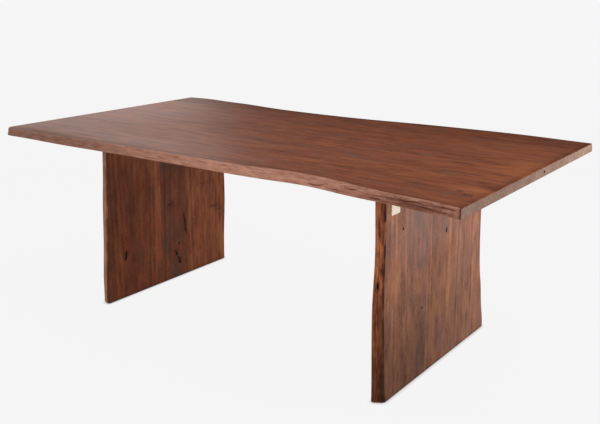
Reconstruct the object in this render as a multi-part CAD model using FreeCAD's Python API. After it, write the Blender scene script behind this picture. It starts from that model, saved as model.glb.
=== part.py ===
import FreeCAD, Part
import math
import os

# A dining table with natural edges: a glued-up slab top on two glued-up slab legs.
# Millimetres. +X runs along the top towards the right leg, +Y to the back, +Z up.
# The origin is on the floor, below the middle of the whole table.

os.makedirs("parts", exist_ok=True)
Vector = FreeCAD.Vector

# Driving dimensions
LENGTH = 2032.0
WIDTH = 1148.0
HEIGHT = 752.0
TOP_THICKNESS = 32.0
LEG_THICKNESS = 40.0
LEG_WIDTH = 754.0
LEG_CENTRE_Y = -4.0
LEFT_LEG_X = -687.0
RIGHT_LEG_X = 673.0
FLOOR_GAP = 1.2

UNDERSIDE = HEIGHT - TOP_THICKNESS
LEG_HEIGHT = UNDERSIDE - FLOOR_GAP
FRONT = -1
BACK = 1

# Natural edges of the top: share of the half length from the middle, then the inset from the overall width.
# The lower arris of a natural edge stands further out than the upper one.
TOP_FRONT_UPPER = [(-1.0, 0), (-0.66, 12), (-0.455, 32), (-0.2, 45), (0.1, 55), (0.24, 63),
                   (0.345, 79), (0.47, 83), (0.61, 65), (0.8, 37), (0.885, 33), (1.0, 17)]
TOP_FRONT_LOWER = [(-1.0, 2), (-0.9, 6), (-0.66, 8), (-0.48, 17), (0.15, 39), (0.34, 52), (0.425, 61),
                   (0.52, 56), (0.61, 43), (0.78, 32), (1.0, 16)]
TOP_BACK_UPPER = [(-1.0, 57), (-0.875, 45), (-0.785, 54), (-0.625, 63), (-0.46, 86), (-0.18, 96),
                  (0.065, 83), (0.28, 54), (0.49, 34), (0.78, 23), (1.0, 35)]
TOP_BACK_LOWER = [(-1.0, 48), (-0.87, 33), (-0.62, 46), (-0.45, 64), (-0.18, 70), (0.07, 60),
                  (0.28, 36), (0.52, 13), (0.76, 1.4), (1.0, 28)]

# Natural edges of the legs: share of the height from the foot, then the swell past half the leg's width.
LEFT_FRONT_OUTER = [(0.0, -17), (0.18, -19), (0.33, -26), (0.61, -33), (0.76, -41), (1.0, -46)]
LEFT_FRONT_INNER = [(0.0, -3), (0.21, -8), (0.45, -18), (0.69, -28), (1.0, -40)]
LEFT_BACK_OUTER = [(0.0, 4), (0.3, -6), (0.6, 10), (1.0, 2)]
LEFT_BACK_INNER = [(0.0, -9), (0.18, -7), (0.4, 2), (0.58, 1), (1.0, -8)]
RIGHT_FRONT_OUTER = [(0.0, 4), (0.065, 11), (0.165, 15), (0.31, 21), (0.45, 26), (0.57, 27),
                     (0.69, 24), (1.0, 27)]
RIGHT_FRONT_INNER = [(0.0, 25), (0.25, 29), (0.55, 26), (0.66, 19), (0.81, 19), (1.0, 24)]
RIGHT_BACK_OUTER = [(0.0, 1), (0.05, -3), (0.15, -20), (0.24, -28), (0.34, -44), (0.44, -52),
                    (0.66, -59), (1.0, -47)]
RIGHT_BACK_INNER = [(0.0, -9), (0.15, -11), (0.34, -31), (0.66, -45), (1.0, -55)]

# Glue lines between the boards, as Y places
TOP_SEAMS = [-375.0, -205.0, -34.0, 105.0, 240.0, 385.0]
LEFT_LEG_SEAMS = [-205.0, -52.0, 106.0, 232.0]
RIGHT_LEG_SEAMS = [-255.0, -113.0, 32.0, 175.0]

# Beech dowels across the glue lines
DOWEL_RADIUS = 5.0
DOWEL_LENGTH = 60.0
TOP_DOWELS_PER_SEAM = 6
LEG_DOWELS_PER_SEAM = 3
DOWEL_END_MARGIN = 156.0
GLUE_GAP = 0.1

# Dark filler in cracks and knots: place along the grain, Y place, length, width and turn from the grain
FILL_DEPTH = 6.0
FILL_SINK = 0.4
FILL_GAP = 0.05
TOP_KNOTS = [(346.0, -284.0, 40.0, 9.0, 0.0), (932.0, -389.0, 22.0, 11.0, 0.0),
             (969.0, -417.0, 34.0, 12.0, 33.0)]
LEFT_CRACKS = [(188.0, -264.0, 34.0, 7.0, 2.0), (241.0, 94.0, 84.0, 5.0, -8.0),
               (95.0, 43.0, 84.0, 8.0, -26.0), (354.0, 1.0, 12.0, 7.0, 0.0),
               (160.0, 54.0, 14.0, 7.0, 10.0), (287.0, 274.0, 12.0, 6.0, 0.0)]
RIGHT_KNOTS = [(568.0, -287.0, 10.0, 5.0, 0.0), (251.0, -145.0, 10.0, 5.0, 0.0),
               (488.0, 20.0, 20.0, 8.0, 0.0)]

# Steel angle bracket in the inner corner of each leg and the top
BRACKET_FLANGE = 60.0
BRACKET_THICKNESS = 5.0
BRACKET_LENGTH = 560.0
BRACKET_ROOT_RADIUS = 6.0
TOP_SCREW_SPACES = [-230.0, -77.0, 77.0, 230.0]
TOP_SCREW_REACH = 38.0
LEG_SCREW_SPACES = [-160.0, 0.0, 160.0]
LEG_SCREW_DROP = 33.0
SCREW_HOLE_RADIUS = 4.5
SLOT_LENGTH = 17.0

# M8 button head screws with washers, in threaded inserts
SCREW_RADIUS = 4.0
SCREW_LENGTH = 25.0
SCREW_TIP = 1.0
HEAD_RADIUS = 7.0
HEAD_HEIGHT = 4.4
HEAD_ROUNDING = 3.2
SOCKET_FLATS = 5.0
SOCKET_DEPTH = 2.6
WASHER_RADIUS = 10.0
WASHER_THICKNESS = 2.0
WASHER_BORE_RADIUS = 4.3
INSERT_RADIUS = 6.0
INSERT_BORE_RADIUS = 4.05
INSERT_LENGTH = 20.0

# Levelling feet: a nylon pad on a steel stud, drawn up into a recess and an insert in the foot of the leg
LEVELLER_SPREAD = 290.0
LEVELLER_INSERT_LENGTH = 25.0
STUD_LENGTH = 26.0
STUD_WELL_DEPTH = 34.0
PAD_RADIUS = 14.0
PAD_HEIGHT = 3.8
PAD_ROUNDING = 1.2
PAD_FLOOR = 1.4
PAD_CLEARANCE = 0.2
RECESS_RADIUS = 15.5

# Blank label on the outer face of the right leg
LABEL_WIDTH = 51.0
LABEL_HEIGHT = 39.0
LABEL_THICKNESS = 1.2
LABEL_CORNER = 2.0
LABEL_CENTRE_Y = -339.0
LABEL_FOOT_Z = 629.0

LEFT_INNER_X = LEFT_LEG_X + LEG_THICKNESS / 2
RIGHT_INNER_X = RIGHT_LEG_X - LEG_THICKNESS / 2
RIGHT_OUTER_X = RIGHT_LEG_X + LEG_THICKNESS / 2
RUN_OUT = 40.0


def export(name, shapes):
    """Write one node: a single solid, or a group of separate solids."""
    shape = shapes[0] if len(shapes) == 1 else Part.makeCompound(shapes)
    if not shape.isValid():
        raise ValueError(name + " is not a valid shape")
    shape.exportStep("parts/" + name + ".step")


def box_between(corner, opposite):
    """Box between two opposite corners, given in any order."""
    low = Vector(*[min(pair) for pair in zip(corner, opposite)])
    size = Vector(*[abs(a - b) for a, b in zip(corner, opposite)])
    return Part.makeBox(size.x, size.y, size.z, low)


def point_along(shape, base, direction):
    """Turn a shape made along +Z to run along a direction from a base point."""
    shape.Placement = FreeCAD.Placement(base, FreeCAD.Rotation(Vector(0, 0, 1), direction))
    return shape


def top_place(along, across, through):
    """Point of the top: its grain runs along X and its thickness along Z."""
    return Vector(along, across, through)


def leg_place(along, across, through):
    """Point of a leg: its grain runs along Z and its thickness along X."""
    return Vector(through, across, along)


def top_arris(pairs, side):
    """Points along and across the top for one arris of a natural edge."""
    return [(share * LENGTH / 2, side * (WIDTH / 2 - inset)) for share, inset in pairs]


def leg_arris(pairs, side):
    """Points along and across a leg for one arris of a natural edge."""
    return [(FLOOR_GAP + share * LEG_HEIGHT, LEG_CENTRE_Y + side * (LEG_WIDTH / 2 + swell))
            for share, swell in pairs]


class Slab:
    """Panel of edge-glued boards, with axes along its grain, across its boards and through its thickness."""

    def __init__(self, place, along, through, seams, middle, front, back):
        self.place = place
        self.along = along
        self.through = through
        self.seams = seams
        self.middle = middle
        self.front = front
        self.back = back

    def natural_block(self, arrises):
        """Block from the slab's middle out to a natural edge ruled between its two arrises."""
        wires = []
        for points, depth in zip(arrises, self.through):
            first = (self.along[0] - RUN_OUT, points[0][1])
            last = (self.along[1] + RUN_OUT, points[-1][1])
            spots = [self.place(a, c, depth) for a, c in [first] + points + [last]]
            curve = Part.BSplineCurve()
            curve.interpolate(spots)
            inner = [self.place(last[0], self.middle, depth), self.place(first[0], self.middle, depth)]
            straight = Part.makePolygon([spots[-1]] + inner + [spots[0]])
            wires.append(Part.Wire([curve.toShape()] + straight.Edges))
        return Part.makeLoft(wires, True, True)

    def reach(self, arrises, side):
        """Y place just outside a natural edge."""
        return side * RUN_OUT + self.middle + side * max(
            side * (across - self.middle) for points in arrises for _, across in points)

    def boards(self):
        """The boards from front to back, the first and last with a natural edge."""
        limits = [self.reach(self.front, FRONT)] + self.seams + [self.reach(self.back, BACK)]
        blanks = [box_between(self.place(self.along[0], low, self.through[0]),
                              self.place(self.along[1], high, self.through[1]))
                  for low, high in zip(limits, limits[1:])]
        blanks[0] = blanks[0].common(self.natural_block(self.front))
        blanks[-1] = blanks[-1].common(self.natural_block(self.back))
        return blanks

    def dowels(self, count, radius, length):
        """Dowels, or their holes, across every glue line at even places along the grain."""
        first = self.along[0] + DOWEL_END_MARGIN
        step = (self.along[1] - self.along[0] - 2 * DOWEL_END_MARGIN) / (count - 1)
        depth = sum(self.through) / 2
        return [Part.makeCylinder(radius, length, self.place(first + i * step, seam - length / 2, depth),
                                  Vector(0, 1, 0))
                for seam in self.seams for i in range(count)]

    def fills(self, table, gap, sink):
        """Lens-shaped fillings, or their pockets, from a little below the slab's upper or +X face inwards."""
        grain = self.place(1, 0, 0)
        inward = self.place(0, 0, -1)
        sideways = inward.cross(grain)
        shapes = []
        for along, across, length, width, turn in table:
            shape = lens(length + 2 * gap, width + 2 * gap, FILL_DEPTH + gap - sink)
            shape.rotate(Vector(0, 0, 0), Vector(0, 0, 1), turn)
            turned = FreeCAD.Rotation(grain, sideways, inward, "ZXY")
            mouth = self.place(along, across, self.through[1] - sink)
            shape.Placement = FreeCAD.Placement(mouth, turned) * shape.Placement
            shapes.append(shape)
        return shapes


def lens(length, width, depth):
    """Prism between two arcs that meet in a point at both ends."""
    tip = Vector(-length / 2, 0, 0)
    other_tip = Vector(length / 2, 0, 0)
    upper = Part.Arc(tip, Vector(0, width / 2, 0), other_tip)
    lower = Part.Arc(other_tip, Vector(0, -width / 2, 0), tip)
    outline = Part.Wire([upper.toShape(), lower.toShape()])
    return Part.Face(outline).extrude(Vector(0, 0, depth))


def drilled(boards, cutters):
    """Boards with every hole and pocket that reaches them."""
    cut_boards = []
    for board in boards:
        near = [cutter for cutter in cutters if board.BoundBox.intersect(cutter.BoundBox)]
        cut_boards.append(board.cut(near))
    return cut_boards


def insert(base, direction, length):
    """Threaded insert: a sleeve from its mouth into the wood."""
    sleeve = Part.makeCylinder(INSERT_RADIUS, length, base, direction)
    return sleeve.cut(Part.makeCylinder(INSERT_BORE_RADIUS, length, base, direction))


def insert_hole(base, direction, depth):
    """Hole in the wood for an insert."""
    return Part.makeCylinder(INSERT_RADIUS + GLUE_GAP, depth, base, direction)


def hexagon_prism(flats, height):
    """Hexagonal prism on the origin along +Z, for a socket."""
    corner_radius = flats / math.sqrt(3)
    angles = [math.radians(60 * i) for i in range(7)]
    corners = [Vector(corner_radius * math.cos(a), corner_radius * math.sin(a), 0) for a in angles]
    return Part.Face(Part.makePolygon(corners)).extrude(Vector(0, 0, height))


def end_edge(shape, highest):
    """Lowest or highest round edge of a shape made along +Z."""
    edges = sorted(shape.Edges, key=lambda edge: edge.CenterOfMass.z)
    return edges[-1] if highest else edges[0]


def button_screw(seat, direction):
    """Button head screw: its head's underside is at the seat and its shank runs along the direction."""
    head = Part.makeCylinder(HEAD_RADIUS, HEAD_HEIGHT, Vector(0, 0, -HEAD_HEIGHT))
    head = head.makeFillet(HEAD_ROUNDING, [end_edge(head, False)])
    shank = Part.makeCylinder(SCREW_RADIUS, SCREW_LENGTH)
    shank = shank.makeChamfer(SCREW_TIP, [end_edge(shank, True)])
    socket = hexagon_prism(SOCKET_FLATS, SOCKET_DEPTH)
    socket.translate(Vector(0, 0, -HEAD_HEIGHT))
    return point_along(head.fuse(shank).cut(socket), seat, direction)


def washer(base, direction):
    """Flat washer from its face on the bracket outwards."""
    disc = Part.makeCylinder(WASHER_RADIUS, WASHER_THICKNESS, base, direction)
    return disc.cut(Part.makeCylinder(WASHER_BORE_RADIUS, WASHER_THICKNESS, base, direction))


def slot_cutter(centre):
    """Upright slot, long across the top, that lets the top move with the seasons."""
    half_run = SLOT_LENGTH / 2 - SCREW_HOLE_RADIUS
    depth = 2 * BRACKET_THICKNESS
    foot = centre - Vector(0, 0, depth)
    ends = [Part.makeCylinder(SCREW_HOLE_RADIUS, 2 * depth, foot + Vector(0, shift, 0))
            for shift in (-half_run, half_run)]
    corner = Vector(SCREW_HOLE_RADIUS, half_run, 0)
    middle = box_between(foot - corner, foot + corner + Vector(0, 0, 2 * depth))
    return middle.fuse(ends).removeSplitter()


class Corner:
    """The inner corner of a leg and the top, with its bracket, screws, washers and inserts."""

    def __init__(self, face_x, inward):
        self.face_x = face_x
        self.inward = inward
        self.top_seats = [Vector(face_x + inward * TOP_SCREW_REACH, LEG_CENTRE_Y + space, UNDERSIDE)
                          for space in TOP_SCREW_SPACES]
        self.leg_seats = [Vector(face_x, LEG_CENTRE_Y + space, UNDERSIDE - LEG_SCREW_DROP)
                          for space in LEG_SCREW_SPACES]
        self.up = Vector(0, 0, 1)
        self.into_leg = Vector(-inward, 0, 0)

    def point(self, reach, drop):
        """Point at the near end of the bracket, out from the leg and down from the top."""
        near_y = LEG_CENTRE_Y - BRACKET_LENGTH / 2
        return Vector(self.face_x + self.inward * reach, near_y, UNDERSIDE - drop)

    def bracket(self):
        """Angle section along Y with round holes to the leg and slots to the top."""
        flange = BRACKET_FLANGE
        wall = BRACKET_THICKNESS
        root = wall + BRACKET_ROOT_RADIUS
        bend = wall + BRACKET_ROOT_RADIUS * (1 - math.sqrt(0.5))
        straight = [self.point(root, wall), self.point(flange, wall), self.point(flange, 0), self.point(0, 0),
                    self.point(0, flange), self.point(wall, flange), self.point(wall, root)]
        arc = Part.Arc(self.point(wall, root), self.point(bend, bend), self.point(root, wall))
        outline = Part.Wire(Part.makePolygon(straight).Edges + [arc.toShape()])
        section = Part.Face(outline).extrude(Vector(0, BRACKET_LENGTH, 0))
        slots = [slot_cutter(seat) for seat in self.top_seats]
        depth = 2 * wall
        holes = [Part.makeCylinder(SCREW_HOLE_RADIUS, 2 * depth, seat + self.into_leg * depth, -self.into_leg)
                 for seat in self.leg_seats]
        return section.cut(slots + holes)

    def fastenings(self, seats, direction):
        """Screws, washers, inserts and insert holes for one flange, with screws along the direction."""
        under_washer = direction * -BRACKET_THICKNESS
        under_head = direction * -(BRACKET_THICKNESS + WASHER_THICKNESS)
        screws = [button_screw(seat + under_head, direction) for seat in seats]
        washers = [washer(seat + under_washer, direction * -1) for seat in seats]
        inserts = [insert(seat, direction, INSERT_LENGTH) for seat in seats]
        holes = [insert_hole(seat, direction, INSERT_LENGTH + GLUE_GAP) for seat in seats]
        return screws, washers, inserts, holes


def leveller_feet(leg_x):
    """Middle of the two levelling feet of a leg, front then back, on the floor."""
    return [Vector(leg_x, LEG_CENTRE_Y + side * LEVELLER_SPREAD, 0) for side in (FRONT, BACK)]


def leveller_stud(foot):
    """Threaded stud from inside the pad up into the leg's insert."""
    stud = Part.makeCylinder(SCREW_RADIUS, STUD_LENGTH, foot + Vector(0, 0, PAD_FLOOR))
    return stud.makeChamfer(SCREW_TIP, [end_edge(stud, True)])


def leveller_pad(foot):
    """Nylon disc with a rounded foot and a blind bore for its stud."""
    pad = Part.makeCylinder(PAD_RADIUS, PAD_HEIGHT, foot)
    pad = pad.makeFillet(PAD_ROUNDING, [end_edge(pad, False)])
    return pad.cut(Part.makeCylinder(SCREW_RADIUS + FILL_GAP, PAD_HEIGHT, foot + Vector(0, 0, PAD_FLOOR)))


def label():
    """Blank plate with rounded corners, glued to the outer face of the right leg."""
    low = Vector(RIGHT_OUTER_X, LABEL_CENTRE_Y - LABEL_WIDTH / 2, LABEL_FOOT_Z)
    plate = Part.makeBox(LABEL_THICKNESS, LABEL_WIDTH, LABEL_HEIGHT, low)
    corners = [edge for edge in plate.Edges if abs(edge.Length - LABEL_THICKNESS) < GLUE_GAP]
    return plate.makeFillet(LABEL_CORNER, corners)


def export_boards(prefix, boards):
    """Write a slab's boards: two with natural edges, and numbered ones between them."""
    names = ["%s_board_%d" % (prefix, number) for number in range(1, len(boards) + 1)]
    names[0] = prefix + "_front_live_board"
    names[-1] = prefix + "_back_live_board"
    for name, board in zip(names, boards):
        export(name, [board])


def build_slab(prefix, slab, dowel_count, fill_name, fill_table, holes):
    """Write a slab's boards, edge dowels and fillings."""
    dowel_holes = slab.dowels(dowel_count, DOWEL_RADIUS + GLUE_GAP, DOWEL_LENGTH + 2 * GLUE_GAP)
    pockets = slab.fills(fill_table, FILL_GAP, 0.0)
    boards = drilled(slab.boards(), dowel_holes + pockets + holes)
    export_boards(prefix, boards)
    export(prefix + "_edge_dowels", slab.dowels(dowel_count, DOWEL_RADIUS, DOWEL_LENGTH))
    export(fill_name, slab.fills(fill_table, 0.0, FILL_SINK))
    return boards


def build_corner(side, corner):
    """Write a corner's bracket and fastenings, and return its holes in the top and in the leg."""
    screws, washers, inserts, top_holes = corner.fastenings(corner.top_seats, corner.up)
    leg_screws, leg_washers, leg_inserts, leg_holes = corner.fastenings(corner.leg_seats, corner.into_leg)
    export(side + "_angle_bracket", [corner.bracket()])
    export(side + "_bracket_top_screws", screws)
    export(side + "_bracket_leg_screws", leg_screws)
    export(side + "_bracket_washers", washers + leg_washers)
    export(side + "_top_inserts", inserts)
    export(side + "_leg_inserts", leg_inserts)
    return top_holes, leg_holes


def build_levellers(side, leg_x):
    """Write a leg's two levelling feet and their inserts, and return their holes and recesses in the leg."""
    feet = leveller_feet(leg_x)
    up = Vector(0, 0, 1)
    recess_top = PAD_HEIGHT + PAD_CLEARANCE
    mouths = [foot + up * recess_top for foot in feet]
    recesses = [Part.makeCylinder(RECESS_RADIUS, recess_top, foot) for foot in feet]
    export(side + "_leveller_inserts", [insert(mouth, up, LEVELLER_INSERT_LENGTH) for mouth in mouths])
    for end, foot in zip(("front", "back"), feet):
        export("%s_%s_leveller_stud" % (end, side), [leveller_stud(foot)])
        export("%s_%s_leveller_pad" % (end, side), [leveller_pad(foot)])
    return recesses + [insert_hole(mouth, up, STUD_WELL_DEPTH) for mouth in mouths]


def leg_slab(leg_x, seams, front, back):
    """Slab of a leg from its lower-X face to its higher-X face."""
    faces = (leg_x - LEG_THICKNESS / 2, leg_x + LEG_THICKNESS / 2)
    return Slab(leg_place, (FLOOR_GAP, UNDERSIDE), faces, seams, LEG_CENTRE_Y,
                [leg_arris(pairs, FRONT) for pairs in front], [leg_arris(pairs, BACK) for pairs in back])


def main():
    """Build the table and print the box of its top."""
    left_top_holes, left_leg_holes = build_corner("left", Corner(LEFT_INNER_X, 1))
    right_top_holes, right_leg_holes = build_corner("right", Corner(RIGHT_INNER_X, -1))
    left_wells = build_levellers("left", LEFT_LEG_X)
    right_wells = build_levellers("right", RIGHT_LEG_X)
    top = Slab(top_place, (-LENGTH / 2, LENGTH / 2), (UNDERSIDE, HEIGHT), TOP_SEAMS, 0.0,
               [top_arris(TOP_FRONT_LOWER, FRONT), top_arris(TOP_FRONT_UPPER, FRONT)],
               [top_arris(TOP_BACK_LOWER, BACK), top_arris(TOP_BACK_UPPER, BACK)])
    left = leg_slab(LEFT_LEG_X, LEFT_LEG_SEAMS,
                    (LEFT_FRONT_OUTER, LEFT_FRONT_INNER), (LEFT_BACK_OUTER, LEFT_BACK_INNER))
    right = leg_slab(RIGHT_LEG_X, RIGHT_LEG_SEAMS,
                     (RIGHT_FRONT_INNER, RIGHT_FRONT_OUTER), (RIGHT_BACK_INNER, RIGHT_BACK_OUTER))
    boards = build_slab("top", top, TOP_DOWELS_PER_SEAM, "top_knot_fills", TOP_KNOTS,
                        left_top_holes + right_top_holes)
    build_slab("left_leg", left, LEG_DOWELS_PER_SEAM, "left_leg_crack_fills", LEFT_CRACKS,
               left_leg_holes + left_wells)
    build_slab("right_leg", right, LEG_DOWELS_PER_SEAM, "right_leg_knot_fills", RIGHT_KNOTS,
               right_leg_holes + right_wells)
    export("blank_label", [label()])
    print("top box", Part.makeCompound(boards).optimalBoundingBox())


main()
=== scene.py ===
"""Looks of a dining table with natural edges: a glued-up slab top on two glued-up slab legs.

Metres. +X runs along the top towards the labelled leg, +Y to the back, +Z up. Each board is a profile carried
along its grain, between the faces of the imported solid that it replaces.
"""

import logging
import math
from collections.abc import Callable
from dataclasses import dataclass
from enum import Enum
from functools import partial

import bpy
import numpy as np
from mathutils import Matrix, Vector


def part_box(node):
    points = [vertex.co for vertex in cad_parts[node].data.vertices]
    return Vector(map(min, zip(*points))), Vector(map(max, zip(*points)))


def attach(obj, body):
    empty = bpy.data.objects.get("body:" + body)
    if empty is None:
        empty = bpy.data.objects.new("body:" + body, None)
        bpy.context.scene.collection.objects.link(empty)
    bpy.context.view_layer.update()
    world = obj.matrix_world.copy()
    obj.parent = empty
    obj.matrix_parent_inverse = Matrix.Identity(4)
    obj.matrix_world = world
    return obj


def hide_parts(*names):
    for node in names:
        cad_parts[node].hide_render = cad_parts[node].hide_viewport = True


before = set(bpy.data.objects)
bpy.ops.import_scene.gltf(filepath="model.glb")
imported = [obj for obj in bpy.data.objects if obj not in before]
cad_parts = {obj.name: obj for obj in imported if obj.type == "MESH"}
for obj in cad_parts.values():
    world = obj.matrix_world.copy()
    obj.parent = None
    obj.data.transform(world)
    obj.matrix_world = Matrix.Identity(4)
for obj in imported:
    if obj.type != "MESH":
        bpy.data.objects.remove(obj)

LOG = logging.getLogger("table")
Socket = bpy.types.NodeSocket
Piece = bpy.types.Object
Add = Callable[..., Socket]

MM = 0.001
QUARTER = math.pi / 2
TURN = 2 * math.pi
SAME_PLACE = 1e-5
PLACE_DIGITS = 5
GRAIN = "grain"
TONE = "tone"
TREE_STEP = 3.7
TREE_STEPS = 97
NOISE_PERIOD = 256
BACKGROUND = "#F6F6F6"
LACQUER_IOR = 1.5

# The photograph's frame and the camera fitted to its straight lines
IMAGE_WIDTH_PX = 600
IMAGE_HEIGHT_PX = 424
FOCAL_PX = 813.05
HORIZON_AXIS_ROW_PX = 152.6
SENSOR_WIDTH_MM = 36.0
CAMERA_PLACE = (1.9164, -2.4757, 1.3488)
CAMERA_YAW_DEGREES = 36.77
CAMERA_PITCH_DEGREES = 12.083
CAMERA_REACH = 200.0

# Settings that shader nodes share, and the numbers of the colour sockets of a Mix node
MULTIPLY = {"operation": "MULTIPLY"}
MULTIPLY_ADD = {"operation": "MULTIPLY_ADD"}
PLUS = {"operation": "ADD"}
LARGER = {"operation": "MAXIMUM"}
LENGTH = {"operation": "LENGTH"}
SCALED = {"operation": "SCALE"}
COLOURS = {"data_type": "RGBA"}
SHARE, FROM, TO, MIXED = 0, 6, 7, 2


class Lay(Enum):
    """How a board lies: the table axes that run along its grain, across it and through it."""

    FLAT = (0, 1, 2)
    UPRIGHT = (2, 1, 0)

    def swap(self, points: np.ndarray) -> np.ndarray:
        """Table axes to board axes, or back, because each order is its own inverse."""
        return points[..., list(self.value)]


class Side(Enum):
    """The two sides of a board, and the way each faces across it."""

    FRONT = -1
    BACK = 1


def linear(colour: str) -> tuple[float, float, float, float]:
    """Linear colour of an sRGB hex value.

    Args:
        colour: Six hex digits after a number sign.

    Returns:
        Red, green, blue and full alpha.
    """
    shares = [int(colour[place:place + 2], 16) / 255 for place in (1, 3, 5)]
    red, green, blue = [s / 12.92 if s <= 0.04045 else ((s + 0.055) / 1.055) ** 2.4 for s in shares]
    return red, green, blue, 1.0


def add_node(tree: bpy.types.NodeTree, kind: str, settings: dict | None = None, inputs: dict | None = None,
             output: int | str = 0) -> Socket | None:
    """Add a shader node with its settings and links.

    Args:
        tree: Node tree that takes the node.
        kind: Name of the node's type, after the words that all shader nodes share.
        settings: Values for the node's own properties.
        inputs: For each input's name or number, a socket to link or a value to set.
        output: Name or number of the output that is wanted.

    Returns:
        That output, if the node has one.
    """
    node = tree.nodes.new("ShaderNode" + kind)
    for name, value in (settings or {}).items():
        setattr(node, name, value)
    for name, value in (inputs or {}).items():
        if isinstance(value, Socket):
            tree.links.new(value, node.inputs[name])
        else:
            node.inputs[name].default_value = value
    return node.outputs[output] if len(node.outputs) else None


@dataclass(frozen=True)
class Streaks:
    """One noise of a wood's figure, drawn out along the grain."""

    length_mm: float
    width_mm: float
    octaves: float
    weight: float = 1.0

    def noise(self, add: Add, place: Socket, output: int | str = 0) -> Socket:
        """Unit noise, read where the place is divided by a streak's length and width.

        Args:
            add: add_node, bound to a tree.
            place: Place along, across and through the grain, in metres.
            output: Output of the noise that is wanted.

        Returns:
            Noise from 0 to 1 about a mean of 0.5.
        """
        narrow = 1 / (self.width_mm * MM)
        scaled = add("Mapping", {}, {"Vector": place, "Scale": (1 / (self.length_mm * MM), narrow, narrow)})
        return add("TexNoise", {}, {"Vector": scaled, "Scale": 1.0, "Detail": self.octaves}, output)


# Bands of growth, blotches where the grain dips out of the face, streaks, and fibre. Real fibre is near
# 0.2 mm wide, and is drawn at 3 to 5 mm so that it shows in the render.
TOP_FIGURE = (Streaks(900, 40, 1, 0.5), Streaks(220, 50, 3, 0.8), Streaks(160, 10, 3, 0.9),
              Streaks(50, 5, 3, 0.9))
END_FIGURE = (Streaks(900, 60, 1, 0.4), Streaks(40, 9, 3, 0.9), Streaks(26, 4, 2, 0.9))
LEG_FIGURE = (Streaks(900, 40, 1, 0.4), Streaks(90, 35, 3, 0.9), Streaks(60, 6, 3, 0.5),
              Streaks(13, 3, 3, 0.9))
# Wander of the grain, drift between warm and grey, pores, which are drawn wide for the same reason, and
# lines along a natural edge
WANDER = Streaks(420, 110, 2)
DRIFT = Streaks(130, 42, 2)
PORES = Streaks(26, 4, 1)
EDGE_LINES = Streaks(70, 4, 3)


def board_marks(add: Add) -> tuple[Socket, tuple[Socket, ...]]:
    """What a board's vertices carry.

    Args:
        add: add_node, bound to the material's tree.

    Returns:
        Place in the grain, and the tone's lightness, warmth and knot shade.
    """
    grain, tone = (add("Attribute", {"attribute_name": name}, {}, "Vector") for name in (GRAIN, TONE))
    return grain, tuple(add("SeparateXYZ", {}, {0: tone}).node.outputs)


def layered(add: Add, colour: tuple | Socket, coats: tuple[tuple[Socket, str], ...]) -> Socket:
    """Colour under coats of others.

    Args:
        add: add_node, bound to the material's tree.
        colour: Colour to start from.
        coats: Share and colour of each coat, one over another.

    Returns:
        The mixed colour.
    """
    for share, coat in coats:
        colour = add("Mix", COLOURS, {SHARE: share, FROM: colour, TO: linear(coat)}, MIXED)
    return colour


def toned(add: Add, colour: Socket, tone: tuple[Socket, ...], marks: Socket, stain: str) -> Socket:
    """Colour under a board's tone.

    Args:
        add: add_node, bound to the material's tree.
        colour: Colour of the wood.
        tone: Lightness, by which the colour is scaled, warmth and knot shade.
        marks: Shade of the pores or grooves.
        stain: Colour where the marks or the knot shade are strongest.

    Returns:
        The toned colour.
    """
    lit = add("VectorMath", SCALED, {0: colour, "Scale": tone[0]})
    dark = add("Math", LARGER, {0: marks, 1: tone[2]})
    return layered(add, lit, ((dark, stain),))


def seen_by_ray(add: Add) -> Socket:
    """Whether a ray from the camera, or one that a gloss or glass sends on, meets the background.

    Args:
        add: add_node, bound to a tree.

    Returns:
        1 for such a ray and 0 for the light on matt surfaces.
    """
    seen = add("LightPath", {}, {}, "Is Camera Ray")
    rays = seen.node.outputs
    for name in ("Is Glossy Ray", "Is Transmission Ray"):
        seen = add("Math", LARGER, {0: seen, 1: rays[name]})
    return seen


@dataclass(frozen=True)
class Finish:
    """A finish that makes a material of its own."""

    name: str

    def material(self) -> bpy.types.Material:
        """Make the material: the finish's shader, linked to the output.

        Returns:
            The finished material.
        """
        material = bpy.data.materials.new(self.name)
        material.use_nodes = True
        material.node_tree.nodes.clear()
        add = partial(add_node, material.node_tree)
        add("OutputMaterial", {}, {"Surface": self.shader(add)})
        return material

    def shader(self, add: Add) -> Socket:
        """Each finish has a shader of its own."""
        raise NotImplementedError


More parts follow.
